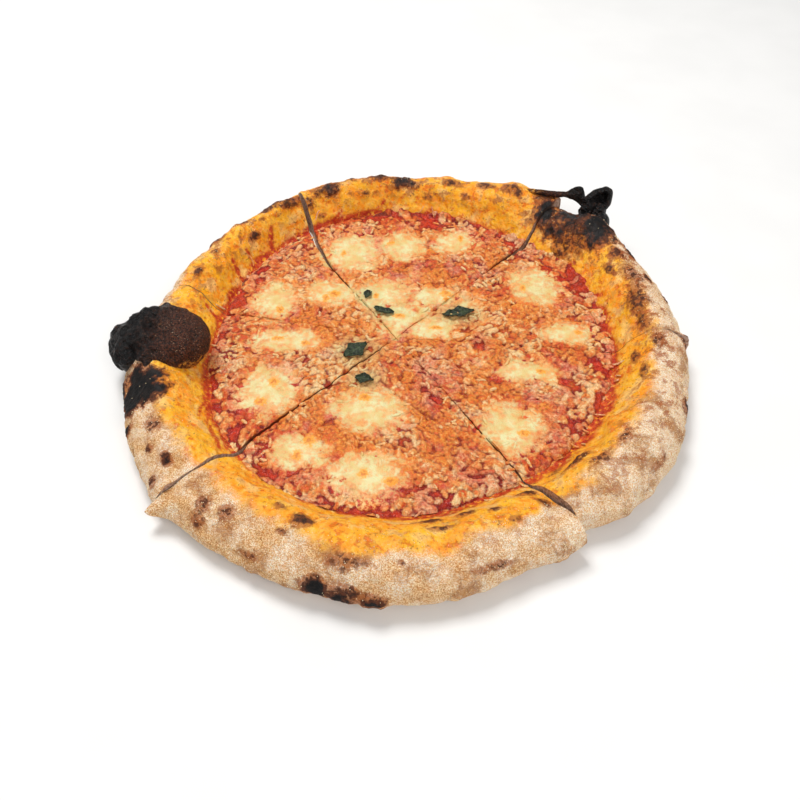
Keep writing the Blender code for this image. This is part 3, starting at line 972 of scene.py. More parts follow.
def map_near(boxes, stretch):
    """Each map cell's distance from the closest of some solids, in stretched half sizes."""
    nearest = np.full(MAP_X.shape, 9.0)
    for node_name in boxes:
        middle, half = place_of(node_name)
        half = half + stretch
        nearest = np.minimum(nearest, np.hypot((MAP_X - middle[0]) / half[0],
                                               (MAP_Y - middle[1]) / half[1]))
    return nearest


def bare_amount():
    """The share of shreds missing at each cell: most in a ring by the rim."""
    bare = ramp(MAP_RADIUS, MAP_EDGE - 12 * MM, MAP_EDGE - 3 * MM) * 0.85
    bare = bare * (0.75 + 0.7 * noise(MAP_PLACE, 9 * MM, 61, 2))
    for angle, out, half in BARE_SAUCE:
        bare = np.maximum(bare, 0.88 * np.exp(-((map_away(angle, out) / (half * MM)) ** 2)))
    return bare + 0.75 * noise(MAP_PLACE, 12 * MM, 62, 4)


def oil_amount():
    """Where orange oil gathered: drifts of a few centimetres, away from the rim."""
    drift = 0.6 * noise(MAP_PLACE, 24 * MM, 71, 2) + 0.6 * noise(MAP_PLACE, 7 * MM, 72, 2)
    inside = ramp(MAP_RADIUS, MAP_EDGE - 8 * MM, MAP_EDGE - 30 * MM)
    return ramp(drift, -0.45, 0.30) * (0.10 + 0.90 * inside)


MAP_BARE = bare_amount()
MAP_OIL = oil_amount()
MAP_MILK = ramp(map_near(POOLS, 1 * MM) + 0.35 * noise(MAP_PLACE, 6 * MM, 64, 3), 1.6, 0.7)
for angle, out, half, amount in MILKY:
    patch = amount * np.exp(-((map_away(angle, out) / (half * MM)) ** 4))
    patch = patch * (1 + 0.8 * noise(MAP_PLACE, 6 * MM, 65, 3))
    MAP_MILK = np.maximum(MAP_MILK, np.clip(patch, 0, 1))
MAP_HERB = ramp(map_near(LEAVES, 5 * MM), 1.6, 0.5)
print(f"sauce shows on {(MAP_BARE > 0.5)[MAP_RADIUS < MAP_EDGE].mean():.0%} of the bed")


# %% Height map of melted shreds
SHRED_COUNT = 10500
SHRED_REACH = 132 * MM


def draw_shreds(count):
    """The height and tint maps of melted shreds. Where little cheese fell, some are left out."""
    height = np.zeros((SIZE, SIZE))
    tint = np.full((SIZE, SIZE), 0.5)
    radius = SHRED_REACH * np.sqrt(RANDOM.random(count))
    turn = RANDOM.random(count) * 2 * math.pi
    lean = RANDOM.random(count) * math.pi
    half = (0.2 + 3.0 * RANDOM.random(count) ** 2.4) * MM
    thick = (1.15 + 1.7 * RANDOM.random(count) ** 1.7) * MM
    rise = (0.8 + 1.2 * RANDOM.random(count)) * MM
    shade = RANDOM.random(count)
    luck = RANDOM.random(count)
    for k in range(count):
        x, y = radius[k] * math.cos(turn[k]), radius[k] * math.sin(turn[k])
        column, row = int((x + REACH) / CELL), int((y + REACH) / CELL)
        if luck[k] < MAP_BARE[column, row]:
            continue
        span = int((half[k] + thick[k]) / CELL) + 2
        block = (slice(max(column - span, 0), column + span), slice(max(row - span, 0), row + span))
        across, along = MAP_X[block] - x, MAP_Y[block] - y
        line = np.clip(across * math.cos(lean[k]) + along * math.sin(lean[k]), -half[k], half[k])
        away = np.hypot(across - line * math.cos(lean[k]), along - line * math.sin(lean[k]))
        ridge = rise[k] * np.sqrt(np.clip(1 - (away / thick[k]) ** 2, 0, 1))
        higher = ridge > height[block]
        height[block] = np.where(higher, ridge, height[block])
        tint[block] = np.where(higher, shade[k], tint[block])
    return height, tint


def softened(values, passes):
    """Melts a map a little: each pass averages every cell with its neighbours."""
    for _ in range(passes):
        for side in (0, 1):
            values = (np.roll(values, 1, side) + 2 * values + np.roll(values, -1, side)) / 4
    return values


# a shallow cut that the wheel scored in the front slice, in millimetres from the crossing
SCORE_LINE = ((-9, -36), (-2, -44), (7, -53), (22, -66))

SHRED_HEIGHT, SHRED_TINT = draw_shreds(SHRED_COUNT)
SHRED_COVER = softened((SHRED_HEIGHT > 0.30 * MM).astype(float), 1)
SHRED_HEIGHT *= 1 - 0.75 * MAP_MILK
# Painted shade: cells that lie lower than their neighbours are marked, and the finish darkens them
# as shade between the shreds.
MAP_CREVICE_SHADE = np.clip((softened(SHRED_HEIGHT, 6) - SHRED_HEIGHT) / (0.23 * MM), 0, 1)
for first, last in zip(SCORE_LINE, SCORE_LINE[1:]):
    ends = [np.array((*place, 0)) * MM for place in (first, last)]
    groove = np.exp(-((near_line(MAP_PLACE, *ends)[0] / (0.6 * MM)) ** 2))
    # The scored groove is marked too, so it gets painted shade.
    MAP_CREVICE_SHADE = np.maximum(MAP_CREVICE_SHADE, groove)
    SHRED_HEIGHT -= 0.9 * MM * groove
MAP_CREVICE_SHADE = softened(MAP_CREVICE_SHADE, 1)
SHRED_HEIGHT = softened(SHRED_HEIGHT, 2)
# Here oil and tomato stained the cheese, there it stayed pale.
stain = 0.7 * noise(MAP_PLACE, 20 * MM, 67, 3)
stain = stain - 0.10 * ramp(MAP_EDGE - MAP_RADIUS, 10 * MM, 30 * MM)
SHRED_TINT = softened(np.clip(SHRED_TINT + stain, 0, 1), 1)
print(f"cheese covers {SHRED_COVER[MAP_RADIUS < 125 * MM].mean():.0%} of the sauce")


# %% Reading a map at a point
def read_map(values, points):
    """A map's value at points about the crossing, blended between its cells."""
    place = np.clip((points[..., :2] + REACH) / CELL - 0.5, 0, SIZE - 1.001)
    cell = place.astype(int)
    share = place - cell
    x, y = cell[..., 0], cell[..., 1]
    low = values[x, y] * (1 - share[..., 1]) + values[x, y + 1] * share[..., 1]
    high = values[x + 1, y] * (1 - share[..., 1]) + values[x + 1, y + 1] * share[..., 1]
    return low * (1 - share[..., 0]) + high * share[..., 0]


# %% [markdown]
# ## Sauce and melted cheese finish
#
# Crushed tomato stays wet, so it is deep red and glossy. Grated cheese turned soft and took up oil
# and tomato: cream, pink and orange bits lie side by side. Fat gives it a low, greasy shine, and
# light goes a little way in.

# %% Sauce and cheese finish
def melted_topping(name, light_depth):
    """Red sauce, shreds and pools of cheese, from the values on the mesh."""
    finish, tree, shader = new_finish(name)
    keys = ("cheese", "tint", "oil", "cut", "crevice", "milk", "herb", "toast")
    cheese, tint, oil, cut, crevice, milk, herb, toast = (reading(tree, key) for key in keys)
    pulp = grain(tree, 3.0 * MM, 3.0, 0.35, 0.65)
    fine = grain(tree, 1.4 * MM, 3.0, 0.32, 0.68)
    sauce = blend(tree, pulp, "9E1810", "D43A1C")
    sauce = blend(tree, times(tree, oil, 0.85), sauce, blend(tree, fine, "E0601A", "F39434"))
    curd = node(tree, "ShaderNodeValToRGB", {"Fac": frayed(tree, tint, fine, 0.35)})
    steps = curd.color_ramp.elements
    steps[0].position, steps[0].color = 0.0, linear("D04016")
    steps[1].position, steps[1].color = 1.0, linear("FAD498")
    for position, colour in ((0.3, "E4702A"), (0.7, "F4A85C")):
        steps.new(position).color = linear(colour)
    soaked = times(tree, oil, sums(tree, "SUBTRACT", 1.10, tint, True))
    # Tomato juice turns some of the shreds pink.
    juicy = times(tree, grain(tree, 15 * MM, 3.0, 0.44, 0.60), inverse(tree, oil), 0.6)
    curds = blend(tree, juicy, curd.outputs[0], blend(tree, fine, "D66A4C", "F2B492"))
    colour = blend(tree, soaked, curds, blend(tree, fine, "E8701C", "F4A040"))
    # Milk fat turns the pools cream, with a yellow border where they thin out.
    runny = frayed(tree, milk, pulp, 0.45)
    colour = blend(tree, spread(tree, runny, 0.10, 0.80, 0.0, 0.7), colour, "E4A45C")
    cream = blend(tree, grain(tree, 9 * MM, 3.0, 0.36, 0.64), "DED69E", "DABC74")
    colour = blend(tree, spread(tree, runny, 0.40, 1.15), colour, cream)
    colour = blend(tree, times(tree, herb, 0.45), colour, "C9CF92")
    speckle = grain(tree, 1.1 * MM, 2.0, 0.60, 0.70)
    bare = inverse(tree, times(tree, milk, 0.9))
    colour = blend(tree, times(tree, speckle, bare, 0.5), colour, "D06A34")
    cover = spread(tree, frayed(tree, cheese, fine, 0.5), 0.25, 0.75)
    colour = blend(tree, cover, sauce, colour)
    # Painted shade: the hollows between shreds are darkened, less where milk covers them.
    painted_shade_colour = blend(tree, oil, "6E140C", "8E2E0A")
    colour = blend(tree, times(tree, crevice, bare), colour, painted_shade_colour)
    browned = frayed(tree, toast, fine, 0.4)
    colour = blend(tree, spread(tree, browned, 0.20, 0.65, 0.0, 0.9), colour, "F3A02C")
    colour = blend(tree, spread(tree, browned, 0.65, 1.05, 0.0, 0.8), colour, "C8701A")
    colour = blend(tree, times(tree, cut, 0.75), colour, "6E2412")
    set_inputs(tree, shader, Base_Color=colour, IOR=1.45, Subsurface_Weight=0.10,
               Subsurface_Scale=light_depth, Roughness=spread(tree, cover, 0.0, 1.0, 0.28, 0.42))
    normal = relief(tree, shader, times(tree, fine, bare), 0.45 * MM)
    relief(tree, shader, grain(tree, 0.7 * MM, 1.0), 0.12 * MM, normal)
    return finish


TOPPING_FINISH = melted_topping("tomato_and_grated_cheese", 1.2 * MM)

# %% [markdown]
# ## The topping layer
#
# The layer follows the map. Its triangles keep about one size: each time the rings toward the tip
# get half as long, they get half as many points. Toward the rim it thins to a film of sauce that
# climbs the first millimetres of the inner slope and ends in a wavering line.

# %% Topping layers
BED_REACH = 126 * MM
RING_STEP, ARC_STEP = 0.66 * MM, 0.78 * MM
# how far the sauce climbs the inner slope, in millimetres, at twelve places around
SAUCE_CLIMB = (1.0, 5.0, 3.5, 3.0, -1.5, 0.5, 1.0, 1.5, 4.0, 1.5, 0.0, -1.0)
TOPPING_SHARP = 65
# depths of the cut faces' rows, from 0 at the surface to 1 at the dough
WALL_SHARES = (0, 0.15, 0.4, 0.7, 1)


def wedge(width):
    """Angle and radius shares of a wedge's points, its triangles and its edge loop."""
    rings = round(BED_REACH / RING_STEP)
    full = 32 * math.ceil(width * BED_REACH / ARC_STEP / 32)
    turn, share, faces = [np.array([0.5])], [np.zeros(1)], []
    before, count, starts, ends = None, 1, [], []
    for ring in range(1, rings + 1):
        parts = full >> min(5, int(math.log2(rings / ring)))
        here = np.arange(parts + 1) + count
        turn.append(np.linspace(0, 1, parts + 1))
        share.append(np.full(parts + 1, ring / rings))
        if before is None:
            faces.append(np.stack((np.zeros(parts, int), here[:-1], here[1:]), 1))
        elif len(before) == len(here):
            faces.append(grid_triangles(np.stack((before, here))))
        else:
            a, b, c = here[:-1:2], here[1::2], here[2::2]
            p, q = before[:-1], before[1:]
            faces += [np.stack(three, 1) for three in ((p, a, b), (p, b, q), (q, b, c))]
        starts.append(here[0])
        ends.append(here[-1])
        count += parts + 1
        before = here
    loop = np.concatenate(([0], starts, before[1:], ends[-2::-1]))
    return np.concatenate(turn), np.concatenate(share), np.concatenate(faces), loop


def bed_level(points, angles, radius, slice_name):
    """Height of the topping's upper side, with the sauce's film at the rim, and of the dough."""
    inner, _ = rim_edges(angles)
    crust = slope_level(angles, radius, slice_name)
    thin = ramp(radius, inner - 9 * MM, inner - 1 * MM)
    base = SAUCE_LEVEL + 0.35 * MM * noise(points, 13 * MM, 91)
    level = base * (1 - thin) + (crust + 0.9 * MM) * thin
    shreds = read_map(SHRED_HEIGHT, points) * (1 - 0.35 * thin)
    pulp = 0.40 * MM * noise(points, 3.0 * MM, 93, 3)
    return level + shreds + pulp, crust


def bed_values(points):
    """What the maps say about each point."""
    maps = {"cheese": SHRED_COVER, "tint": SHRED_TINT, "oil": MAP_OIL, "crevice": MAP_CREVICE_SHADE,
            "milk": MAP_MILK, "herb": MAP_HERB}
    return {key: read_map(values, points) for key, values in maps.items()}


def topping_layer(slice_name):
    """The sauce and grated cheese on one slice."""
    start, end = SLICES[slice_name]
    turn, share, faces, loop = wedge(math.radians(end - start))
    angles = start + turn * (end - start)
    flat = to_place(angles, 125 * MM, 0.0)
    over = (around(angles, SAUCE_CLIMB) + 1.6 * noise(flat, 9 * MM, 95, 2)) * MM
    radius = (around(angles, RIM_STATIONS[:, INNER]) + over) * share
    points = to_place(angles, radius, 0.0)
    level, crust = bed_level(points, angles, radius, slice_name)
    values = bed_values(points)
    nearest = np.min([points[:, :2] @ inward for _, _, inward in side_normals(slice_name)], axis=0)
    rounding = 0.8 * MM * np.exp(-nearest / (0.7 * MM))
    points[:, 2] = level - rounding - ramp(share, 0.985, 1.0) * 1.6 * MM
    wavy = 0.35 * MM * noise(points, 5 * MM, 58, 2)
    points = open_cuts(points, slice_name, extra=wavy)
    foot = points[loop].copy()
    foot[:, 2] = np.minimum(crust[loop] + 0.1 * MM, foot[:, 2] - 0.2 * MM)

    def bulge(row, share):
        swell = 0.3 * MM * noise(row, 3 * MM, 57, 2) * math.sin(math.pi * share)
        return np.concatenate((row[:, :2] * 0, swell[:, None]), 1)

    # The floor runs down the inner slope first, so that it stays under the surface.
    inset = foot.copy()
    inset[share[loop] > 0.97, :2] *= 0.972
    inset[:, 2] = np.minimum(inset[:, 2], DOUGH + 0.2 * MM)
    shell, faces, walls = stand_on(points, faces, loop, foot, WALL_SHARES, bulge, inset)
    for key, top in values.items():
        values[key] = np.concatenate((top, np.tile(top[loop], len(WALL_SHARES)), [0.0]))
    values["cut"] = walls
    piece = make_piece(f"sauce_{slice_name}", shell + CROSSING, faces, TOPPING_FINISH, values,
                       sharp=TOPPING_SHARP)
    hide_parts(f"topping_{slice_name}")


for slice_name in SLICES:
    topping_layer(slice_name)
topping = sum(count for name, count in COUNTS.items() if name.startswith("sauce"))
print(topping, "triangles of topping")

# %% [markdown]
# ## Mozzarella
#
# Torn mozzarella melts into flat pools that sink between the shreds. The middle stays cream white,
# the edge takes up yellow oil, and a few blisters brown in the oven's heat. Each pool is a low dome
# whose edge dips under the shreds, so that the join looks grown together.

# %% Melted mozzarella finish
MOZZARELLA_FINISH = melted_topping("melted_mozzarella", 2.0 * MM)

# %% Mozzarella pools
POOL_TURNS, POOL_RINGS = 90, 22
POOL_SPREAD = 1.32
POOL_FOOT, POOL_EDGE, POOL_DOME = 4.8 * MM, 5.5 * MM, 2.3 * MM


def pool(node_name, number):
    """One pool of melted mozzarella with its toasted blisters."""
    middle, half = place_of(node_name)
    half = half * POOL_SPREAD
    slice_name = slice_at(math.degrees(math.atan2(middle[1], middle[0])) % 360)
    turn = np.linspace(0, 2 * math.pi, POOL_TURNS, endpoint=False)[None, :]
    ring = np.linspace(0, 1, POOL_RINGS)[:, None]
    outline = 1 + 0.14 * np.sin(3 * turn + number) + 0.08 * np.sin(5 * turn + 2.3 * number)
    around_it = np.stack((np.cos(turn), np.sin(turn), 0 * turn + number), -1)
    outline = outline + 0.42 * noise(around_it, 0.35, 15, 3)
    flat = np.stack((half[0] * np.cos(turn), half[1] * np.sin(turn)), -1)
    flat = keep_in_slice(flat * (ring * outline)[..., None] + middle[:2], slice_name, 0.3 * MM)
    points = np.concatenate((flat, 0 * flat[..., :1]), -1)
    dome = np.sqrt(np.clip(1 - ring**2.4, 0, 1))
    level = POOL_EDGE + POOL_DOME * dome + 0.4 * MM * noise(points, 6 * MM, 44 + number, 2)
    level = level + 0.7 * read_map(SHRED_HEIGHT, points) * ramp(ring, 0.45, 0.95)
    toast = np.zeros(level.shape)
    for _ in range(RANDOM.integers(1, 3)):
        place = RANDOM.uniform(-0.5, 0.5, 2) * half[:2] + middle[:2]
        size = RANDOM.uniform(1.8, 4.4, 2) * MM
        away = np.hypot((points[..., 0] - place[0]) / size[0],
                        (points[..., 1] - place[1]) / size[1])
        toast = np.maximum(toast, np.exp(-(away**2)))
    points[..., 2] = level + 0.5 * MM * toast
    points = open_cuts(points, slice_name)
    index = np.arange(POOL_TURNS * POOL_RINGS).reshape(POOL_RINGS, POOL_TURNS)
    index[0] = 0
    loop = index[-1]
    faces = grid_triangles(closed_ring(index))
    foot = points[-1].copy()
    foot[:, 2] = POOL_FOOT
    shell, faces, _ = stand_on(points.reshape(-1, 3), faces, loop, foot)
    rest = np.zeros(POOL_TURNS + 1)
    values = bed_values(shell)
    inside = np.concatenate((np.broadcast_to(ramp(ring, 0.98, 0.3), level.shape).ravel(), rest))
    values["milk"] = np.maximum(values["milk"] * 0.85, inside)
    values["cheese"] = np.maximum(values["cheese"], 0.5 + 0.5 * inside)
    values["toast"] = np.concatenate((toast.ravel(), rest))
    piece = make_piece(f"curd_{number:02d}", shell + CROSSING, faces, MOZZARELLA_FINISH, values)
    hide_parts(node_name)


for number, node_name in enumerate(POOLS, start=1):
    pool(node_name, number)

# %% [markdown]
# ## Char
#
# Where the rim stood closest to the flame, gas blew the skin into a bubble that burnt to charcoal.
# Char is nearly black with a dull shine. It is brown where it is thin and wrinkled all over, and
# its edge is layered and broken.

# %% Charred skin finish
def charred_skin():
    """Charcoal with brown where the burn is thinner and gold where it ends."""
    finish, tree, shader = new_finish("charred_dough_skin")
    thin, clean = reading(tree, "thin"), reading(tree, "clean")
    speck = grain(tree, 0.9 * MM, 2.0, 0.35, 0.68)
    ragged = grain(tree, 2.4 * MM, 4.0, 0.25, 0.75, roughness=0.7)
    coal = blend(tree, speck, "020202", "0E0D0D")
    brown = blend(tree, speck, "1E100A", "643420")
    colour = blend(tree, frayed(tree, thin, ragged, 0.8), coal, brown)
    edge = frayed(tree, clean, ragged, 0.8)
    golden = blend(tree, ragged, "B5651E", "F0AE48")
    colour = blend(tree, spread(tree, edge, 0.30, 0.90), colour, golden)
    # Pale specks are crumbs of ash and painted glints, most where the burn is thin.
    ash_and_glints = times(tree, grain(tree, 0.55 * MM, 0.0, 0.74, 0.78),
                  grain(tree, 7 * MM, 3.0, 0.42, 0.62))
    ash_and_glints = times(tree, ash_and_glints, sums(tree, "ADD", times(tree, thin, 0.7), 0.08))
    colour = blend(tree, ash_and_glints, colour, "F0C8A4")
    set_inputs(tree, shader, Base_Color=colour, IOR=1.5, Specular_IOR_Level=0.3,
               Roughness=spread(tree, thin, 0.0, 1.0, 0.36, 0.60))
    normal = relief(tree, shader, grain(tree, 5 * MM, 4.0, 0.3, 0.7, distortion=0.6), 1.4 * MM)
    normal = relief(tree, shader, ragged, 0.9 * MM, normal)
    relief(tree, shader, speck, 0.2 * MM, normal)
    return finish


CHAR_FINISH = charred_skin()

# %% [markdown]
# ## The charred bubble
#
# The dome and the broken ledges beside it are rounded lumps. Each is a ball whose points move in
# and out with noise, more on the side that faced the fire.

# %% Charred bubble
# middle about the crossing, half sizes, turn and rows, in millimetres and degrees
BUBBLE_LUMPS = (
    ((-134, -19, 22.5), (26.5, 22, 16), 12, 130),
    ((-151, -21, 20), (12, 13, 12), 10, 80),
    ((-155, -20, 18.5), (9.5, 9, 10), 20, 60),
    ((-158, -25, 15.5), (5.5, 5.5, 7.5), 30, 50),
)


def lump(middle, half, turn, rows, seed):
    """A closed ball of points, squashed, turned and roughened, and how near the fire it was."""
    columns = rows * 2
    fall = np.linspace(0, math.pi, rows)[:, None]
    turns = np.linspace(0, 2 * math.pi, columns, endpoint=False)[None, :]
    ball = np.stack(np.broadcast_arrays(np.sin(fall) * np.cos(turns), np.sin(fall) * np.sin(turns),
                                        np.cos(fall)), -1)
    place = ball * np.array(half) * MM
    fire = ramp(ball[..., 0] - 0.35 * ball[..., 1], 0.60, -0.45)
    fold = min(11, 0.8 * np.mean(half)) * MM
    ridge = 1 - 2.4 * np.abs(noise(place + seed * MM, fold, seed, 3))
    swell = 1.1 * noise(place, 12 * MM, seed + 4, 2) + 0.3 * noise(place, 3 * MM, seed + 6, 2)
    swell = swell * (0.8 + 0.9 * fire) + 3.4 * (0.1 + fire) * ridge
    swell = swell * min(1.0, np.mean(half) / 12)
    place = place + ball * (swell * MM)[..., None]
    angle = math.radians(turn)
    spin = np.array(((math.cos(angle), math.sin(angle), 0), (-math.sin(angle), math.cos(angle), 0),
                     (0, 0, 1)))
    place = place @ spin + np.array(middle) * MM
    index = np.arange(columns * rows).reshape(rows, columns)
    index[0], index[-1] = 0, columns * (rows - 1)
    return place.reshape(-1, 3), grid_triangles(closed_ring(index)), fire.ravel()


def charred_bubble():
    """The dome and its ledges as one piece."""
    lumps = [lump(*shape, seed) for seed, shape in enumerate(BUBBLE_LUMPS, start=3)]
    points, faces = joined([made[:2] for made in lumps])
    fire = np.concatenate([made[2] for made in lumps])
    drop = points @ np.array((0.35, -0.55, -0.9))
    clean = ramp(drop, -0.050, -0.030) * ramp(points[:, 0], -0.146, -0.128)
    piece = make_piece("charred_bubble", points + CROSSING, faces, CHAR_FINISH,
                       {"thin": 1 - fire, "clean": clean})


charred_bubble()

# %% [markdown]
# ## The burst bubble
#
# On the back right a bubble burst. Its burnt skin rolled up: a small pointed ear, a hood that
# opens toward the front, the neck that both grew from, and a strip that still spans to the next
# slice. All are thin sheets but the neck, which is three rounded lumps.

# %% Burst bubble
# both edges of the strip and ear, and the rim of the hood, in millimetres about the crossing
STRIP_TOP = (
    (84, 123, 29), (92, 120, 32.5), (102, 117.5, 32.5), (108.5, 116, 33), (115.5, 113, 34),
    (118.5, 112, 37), (121, 111, 40), (123, 110.5, 41), (125, 110, 40), (126, 109, 37),
    (127, 108, 33), (128, 106, 31),
)
STRIP_BOTTOM = (
    (84, 123, 27.5), (93, 120, 30.5), (102.5, 117.5, 30.5), (110.5, 115, 29.5), (114.5, 112.5, 32),
    (117.5, 110.5, 32), (120.5, 109, 31.5), (122, 108, 31), (123.5, 107, 30), (124.5, 106.5, 29.5),
    (126, 106, 28.5), (127, 105, 28),
)
HOOD_RIM = (
    (126.5, 104, 34), (130, 105, 36.5), (133, 106, 39), (137, 106.5, 40), (140, 107, 41),
    (144, 106, 39), (144, 104.5, 35.5), (143.5, 102.5, 31), (141, 101.5, 29), (137.5, 101.5, 29),
    (133, 102.5, 31), (129.5, 103, 32),
)
HOOD_MIDDLE = (138, 105, 36)
# middle and half sizes of the lumps that carry them
NECKS = (
    ((136, 96, 21.5), (8.5, 8, 8)),
    ((137.5, 102, 26.5), (5, 4.5, 6)),
    ((129.5, 101.5, 28), (6.5, 4, 6)),
)


def smooth_path(corners, count, closed=False):
    """Points along a rounded line through corners."""
    corners = np.array(corners + corners[:1] if closed else corners) * MM
    share = np.linspace(0, len(corners) - 1, count)
    path = np.stack([np.interp(share, range(len(corners)), corners[:, k]) for k in range(3)], 1)
    for _ in range(6):
        path[1:-1] = (path[:-2] + 2 * path[1:-1] + path[2:]) / 4
    return path


def torn_strip():
    """A strip of skin between two edges, folded along its middle."""
    top, bottom = smooth_path(STRIP_TOP, 90)[:, None], smooth_path(STRIP_BOTTOM, 90)[:, None]
    share = np.linspace(0, 1, 15)[None, :, None]
    grid = top * (1 - share) + bottom * share
    fold = 1.3 * np.sin(math.pi * share[..., 0]) + 0.8 * noise(grid, 4 * MM, 85, 2)
    grid[..., 1] -= fold * MM
    return thin_sheet(grid, np.full(grid.shape[:2], 1.0 * MM))


def hood():
    """A pouch of skin that opens toward the front, with a rolled rim."""
    rim, middle = smooth_path(HOOD_RIM, 90, True)[None], np.array(HOOD_MIDDLE) * MM
    share = np.linspace(0.02, 1.08, 28)[:, None, None]
    grid = middle + (rim - middle) * share
    share = share[..., 0]
    deep = 7.0 * np.clip(1 - (share / 0.8) ** 2, 0, 1) + 30 * np.clip(share - 0.85, 0, 1) ** 2
    grid[..., 1] += (deep + 0.7 * noise(grid, 3 * MM, 88, 2) * share) * MM
    return thin_sheet(grid, np.full(grid.shape[:2], 1.1 * MM))


def burst_bubble():
    """The strip with its ear, the hood and the lumps under them as one piece."""
    parts = [torn_strip(), hood()]
    parts += [lump(middle, half, turn=30, rows=60, seed=12)[:2] for middle, half in NECKS]
    points, faces = joined(parts)
    values = {"thin": ramp(points[:, 0], 0.120, 0.106),
              "clean": 0.62 * ramp(points[:, 0], 0.106, 0.090)}
    piece = make_piece("burst_bubble", points + CROSSING, faces, CHAR_FINISH, values)


burst_bubble()

# %% [markdown]
# ## Basil
#
# The leaves went in before baking, so they shrank, darkened and stuck to the cheese. A leaf is a
# thin closed sheet, pointed at both ends, folded at its midrib and crumpled.

# %% Baked basil finish
def baked_basil():
    """Dark, leathery leaf with paler veins."""
    finish, tree, shader = new_finish("baked_basil_leaf")
    vein = reading(tree, "vein")
    leaf = blend(tree, grain(tree, 2.5 * MM, 3.0, 0.35, 0.65), "10180F", "2E3C22")
    colour = blend(tree, times(tree, vein, 0.4), leaf, "5F6E48")
    set_inputs(tree, shader, Base_Color=colour, Roughness=0.38, IOR=1.45)
    relief(tree, shader, grain(tree, 1.0 * MM, 3.0), 0.4 * MM)
    return finish


BASIL_FINISH = baked_basil()

# %% Basil leaves
LEAF_ROWS, LEAF_COLUMNS = 40, 25
LEAF_LEVEL = 8.9 * MM
# turn in degrees and width of each leaf for its length
LEAF_TURNS = {"basil_1": (-20, 0.42), "basil_2": (12, 0.42), "basil_3": (40, 0.58),
              "basil_4": (-15, 0.60), "basil_5": (60, 0.65)}


def basil_leaf(node_name):
    """One leaf over the place of its solid."""
    turn, share_wide = LEAF_TURNS[node_name]
    low, high = BOXES[node_name]
    middle = (low + high) / 2
    length = float(np.max((high - low)[:2])) * 1.05
    seed = int(node_name[-1])
    along = np.linspace(0, 1, LEAF_ROWS)[:, None]
    across = np.linspace(-1, 1, LEAF_COLUMNS)[None, :]
    half = length * share_wide * 0.5 * (0.08 + 0.92 * np.sin(math.pi * along**0.85))
    half = half * (1 + 0.22 * np.sin(9 * along + seed) + 0.12 * np.sin(17 * along + 2 * seed))
    flat = np.stack(((along - 0.5) * length + 0 * across, across * half), -1)
    flat = flat @ np.stack(directions(turn))
    points = np.concatenate((flat, 0 * flat[..., :1]), -1)
    crumple = noise(points + seed * 0.01, 4 * MM, seed, 2)
    fold = 1.3 * across**2 - 0.5 * np.abs(across)
    points[..., 2] = LEAF_LEVEL + MM * (fold + 1.8 * crumple + 0.5 * np.sin(math.pi * along))
    shell, faces = thin_sheet(points, np.full((LEAF_ROWS, LEAF_COLUMNS), 0.5 * MM))
    vein = np.exp(-((across / 0.10) ** 2)) + 0 * along
    ribs = 0.6 * np.exp(-(((along * 7 + np.abs(across) * 1.2) % 1 - 0.5) / 0.12) ** 2)
    vein = np.tile(np.maximum(vein, ribs).ravel(), 2)
    shell = shell + np.array((middle[0], middle[1], 0))
    piece = make_piece(f"leaf_{seed}", shell, faces, BASIL_FINISH, {"vein": vein})
    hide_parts(node_name)


for node_name in LEAVES:
    basil_leaf(node_name)

# %% [markdown]
# ## Loose shreds and strings
#
# The last shreds to fall lie on top and kept more of their shape. They are short bent rods with
# rounded ends. A few fell on the rim's inner slope and melted into thin strings. All are joined
# into one piece, and each has sunk a little into the surface where it fell.

# %% Loose shreds
SHRED_RINGS, SHRED_SIDES = 9, 7


def shred(path, thick, slice_name):
    """Points and triangles of one rod that follows a path of the plane over the bed."""
    share = np.linspace(-1, 1, SHRED_RINGS)
    taper = np.sqrt(np.clip(1 - np.abs(share) ** 3.5, 0.02, 1))
    sides = np.linspace(0, 2 * math.pi, SHRED_SIDES, endpoint=False)
    spot = np.concatenate((path, np.zeros((SHRED_RINGS, 1))), 1)
    angles = np.degrees(np.arctan2(path[:, 1], path[:, 0])) % 360
    if slice_name == "back_right":
        angles = np.where(angles < 180, angles + 360, angles)
    level, crust = bed_level(spot, angles, np.hypot(*path.T), slice_name)
    inner, _ = rim_edges(angles)
    level = np.where(np.hypot(*path.T) > inner + 1 * MM, crust + 0.5 * MM, level)
    level = np.convolve(np.pad(level, 2, "edge"), np.full(5, 0.2), "valid")
    spot[:, 2] = level + 0.2 * thick
    forward = np.gradient(spot, axis=0)
    side = np.cross(forward, np.array((0.0, 0.0, 1.0)))
    side /= np.linalg.norm(side, axis=1, keepdims=True)
    up = np.cross(side, forward)
    up /= np.linalg.norm(up, axis=1, keepdims=True)
    turns = sides[None, :, None]
    ring = side[:, None] * np.cos(turns) + 0.75 * up[:, None] * np.sin(turns)
    body = spot[:, None] + ring * (thick * taper)[:, None, None]
    index = np.arange(SHRED_RINGS * SHRED_SIDES).reshape(SHRED_RINGS, SHRED_SIDES)
    wrapped = closed_ring(index)
    first, last = len(index.ravel()), len(index.ravel()) + 1
    near, far = wrapped[0], wrapped[-1]
    caps = (np.stack((near[1:], near[:-1], np.full(SHRED_SIDES, first)), 1),
            np.stack((far[:-1], far[1:], np.full(SHRED_SIDES, last)), 1))
    shell = np.concatenate((body.reshape(-1, 3), spot[:1], spot[-1:]))
    faces = (grid_triangles(wrapped), *caps)
    return shell, np.concatenate([part[:, ::-1] for part in faces])


def shred_path(angle, radius, lean, half, bend, slice_name):
    """A short bent path of the plane about a place, kept inside its slice."""
    share = np.linspace(-1, 1, SHRED_RINGS)
    direction = np.array((math.cos(lean), math.sin(lean)))
    sideways = np.array((-direction[1], direction[0]))
    path = radius * directions(angle)[0] + np.outer(share * half, direction)
    path = path + np.outer((share**2 - 0.4) * bend * half, sideways)
    return keep_in_slice(path, slice_name, 1.0 * MM)


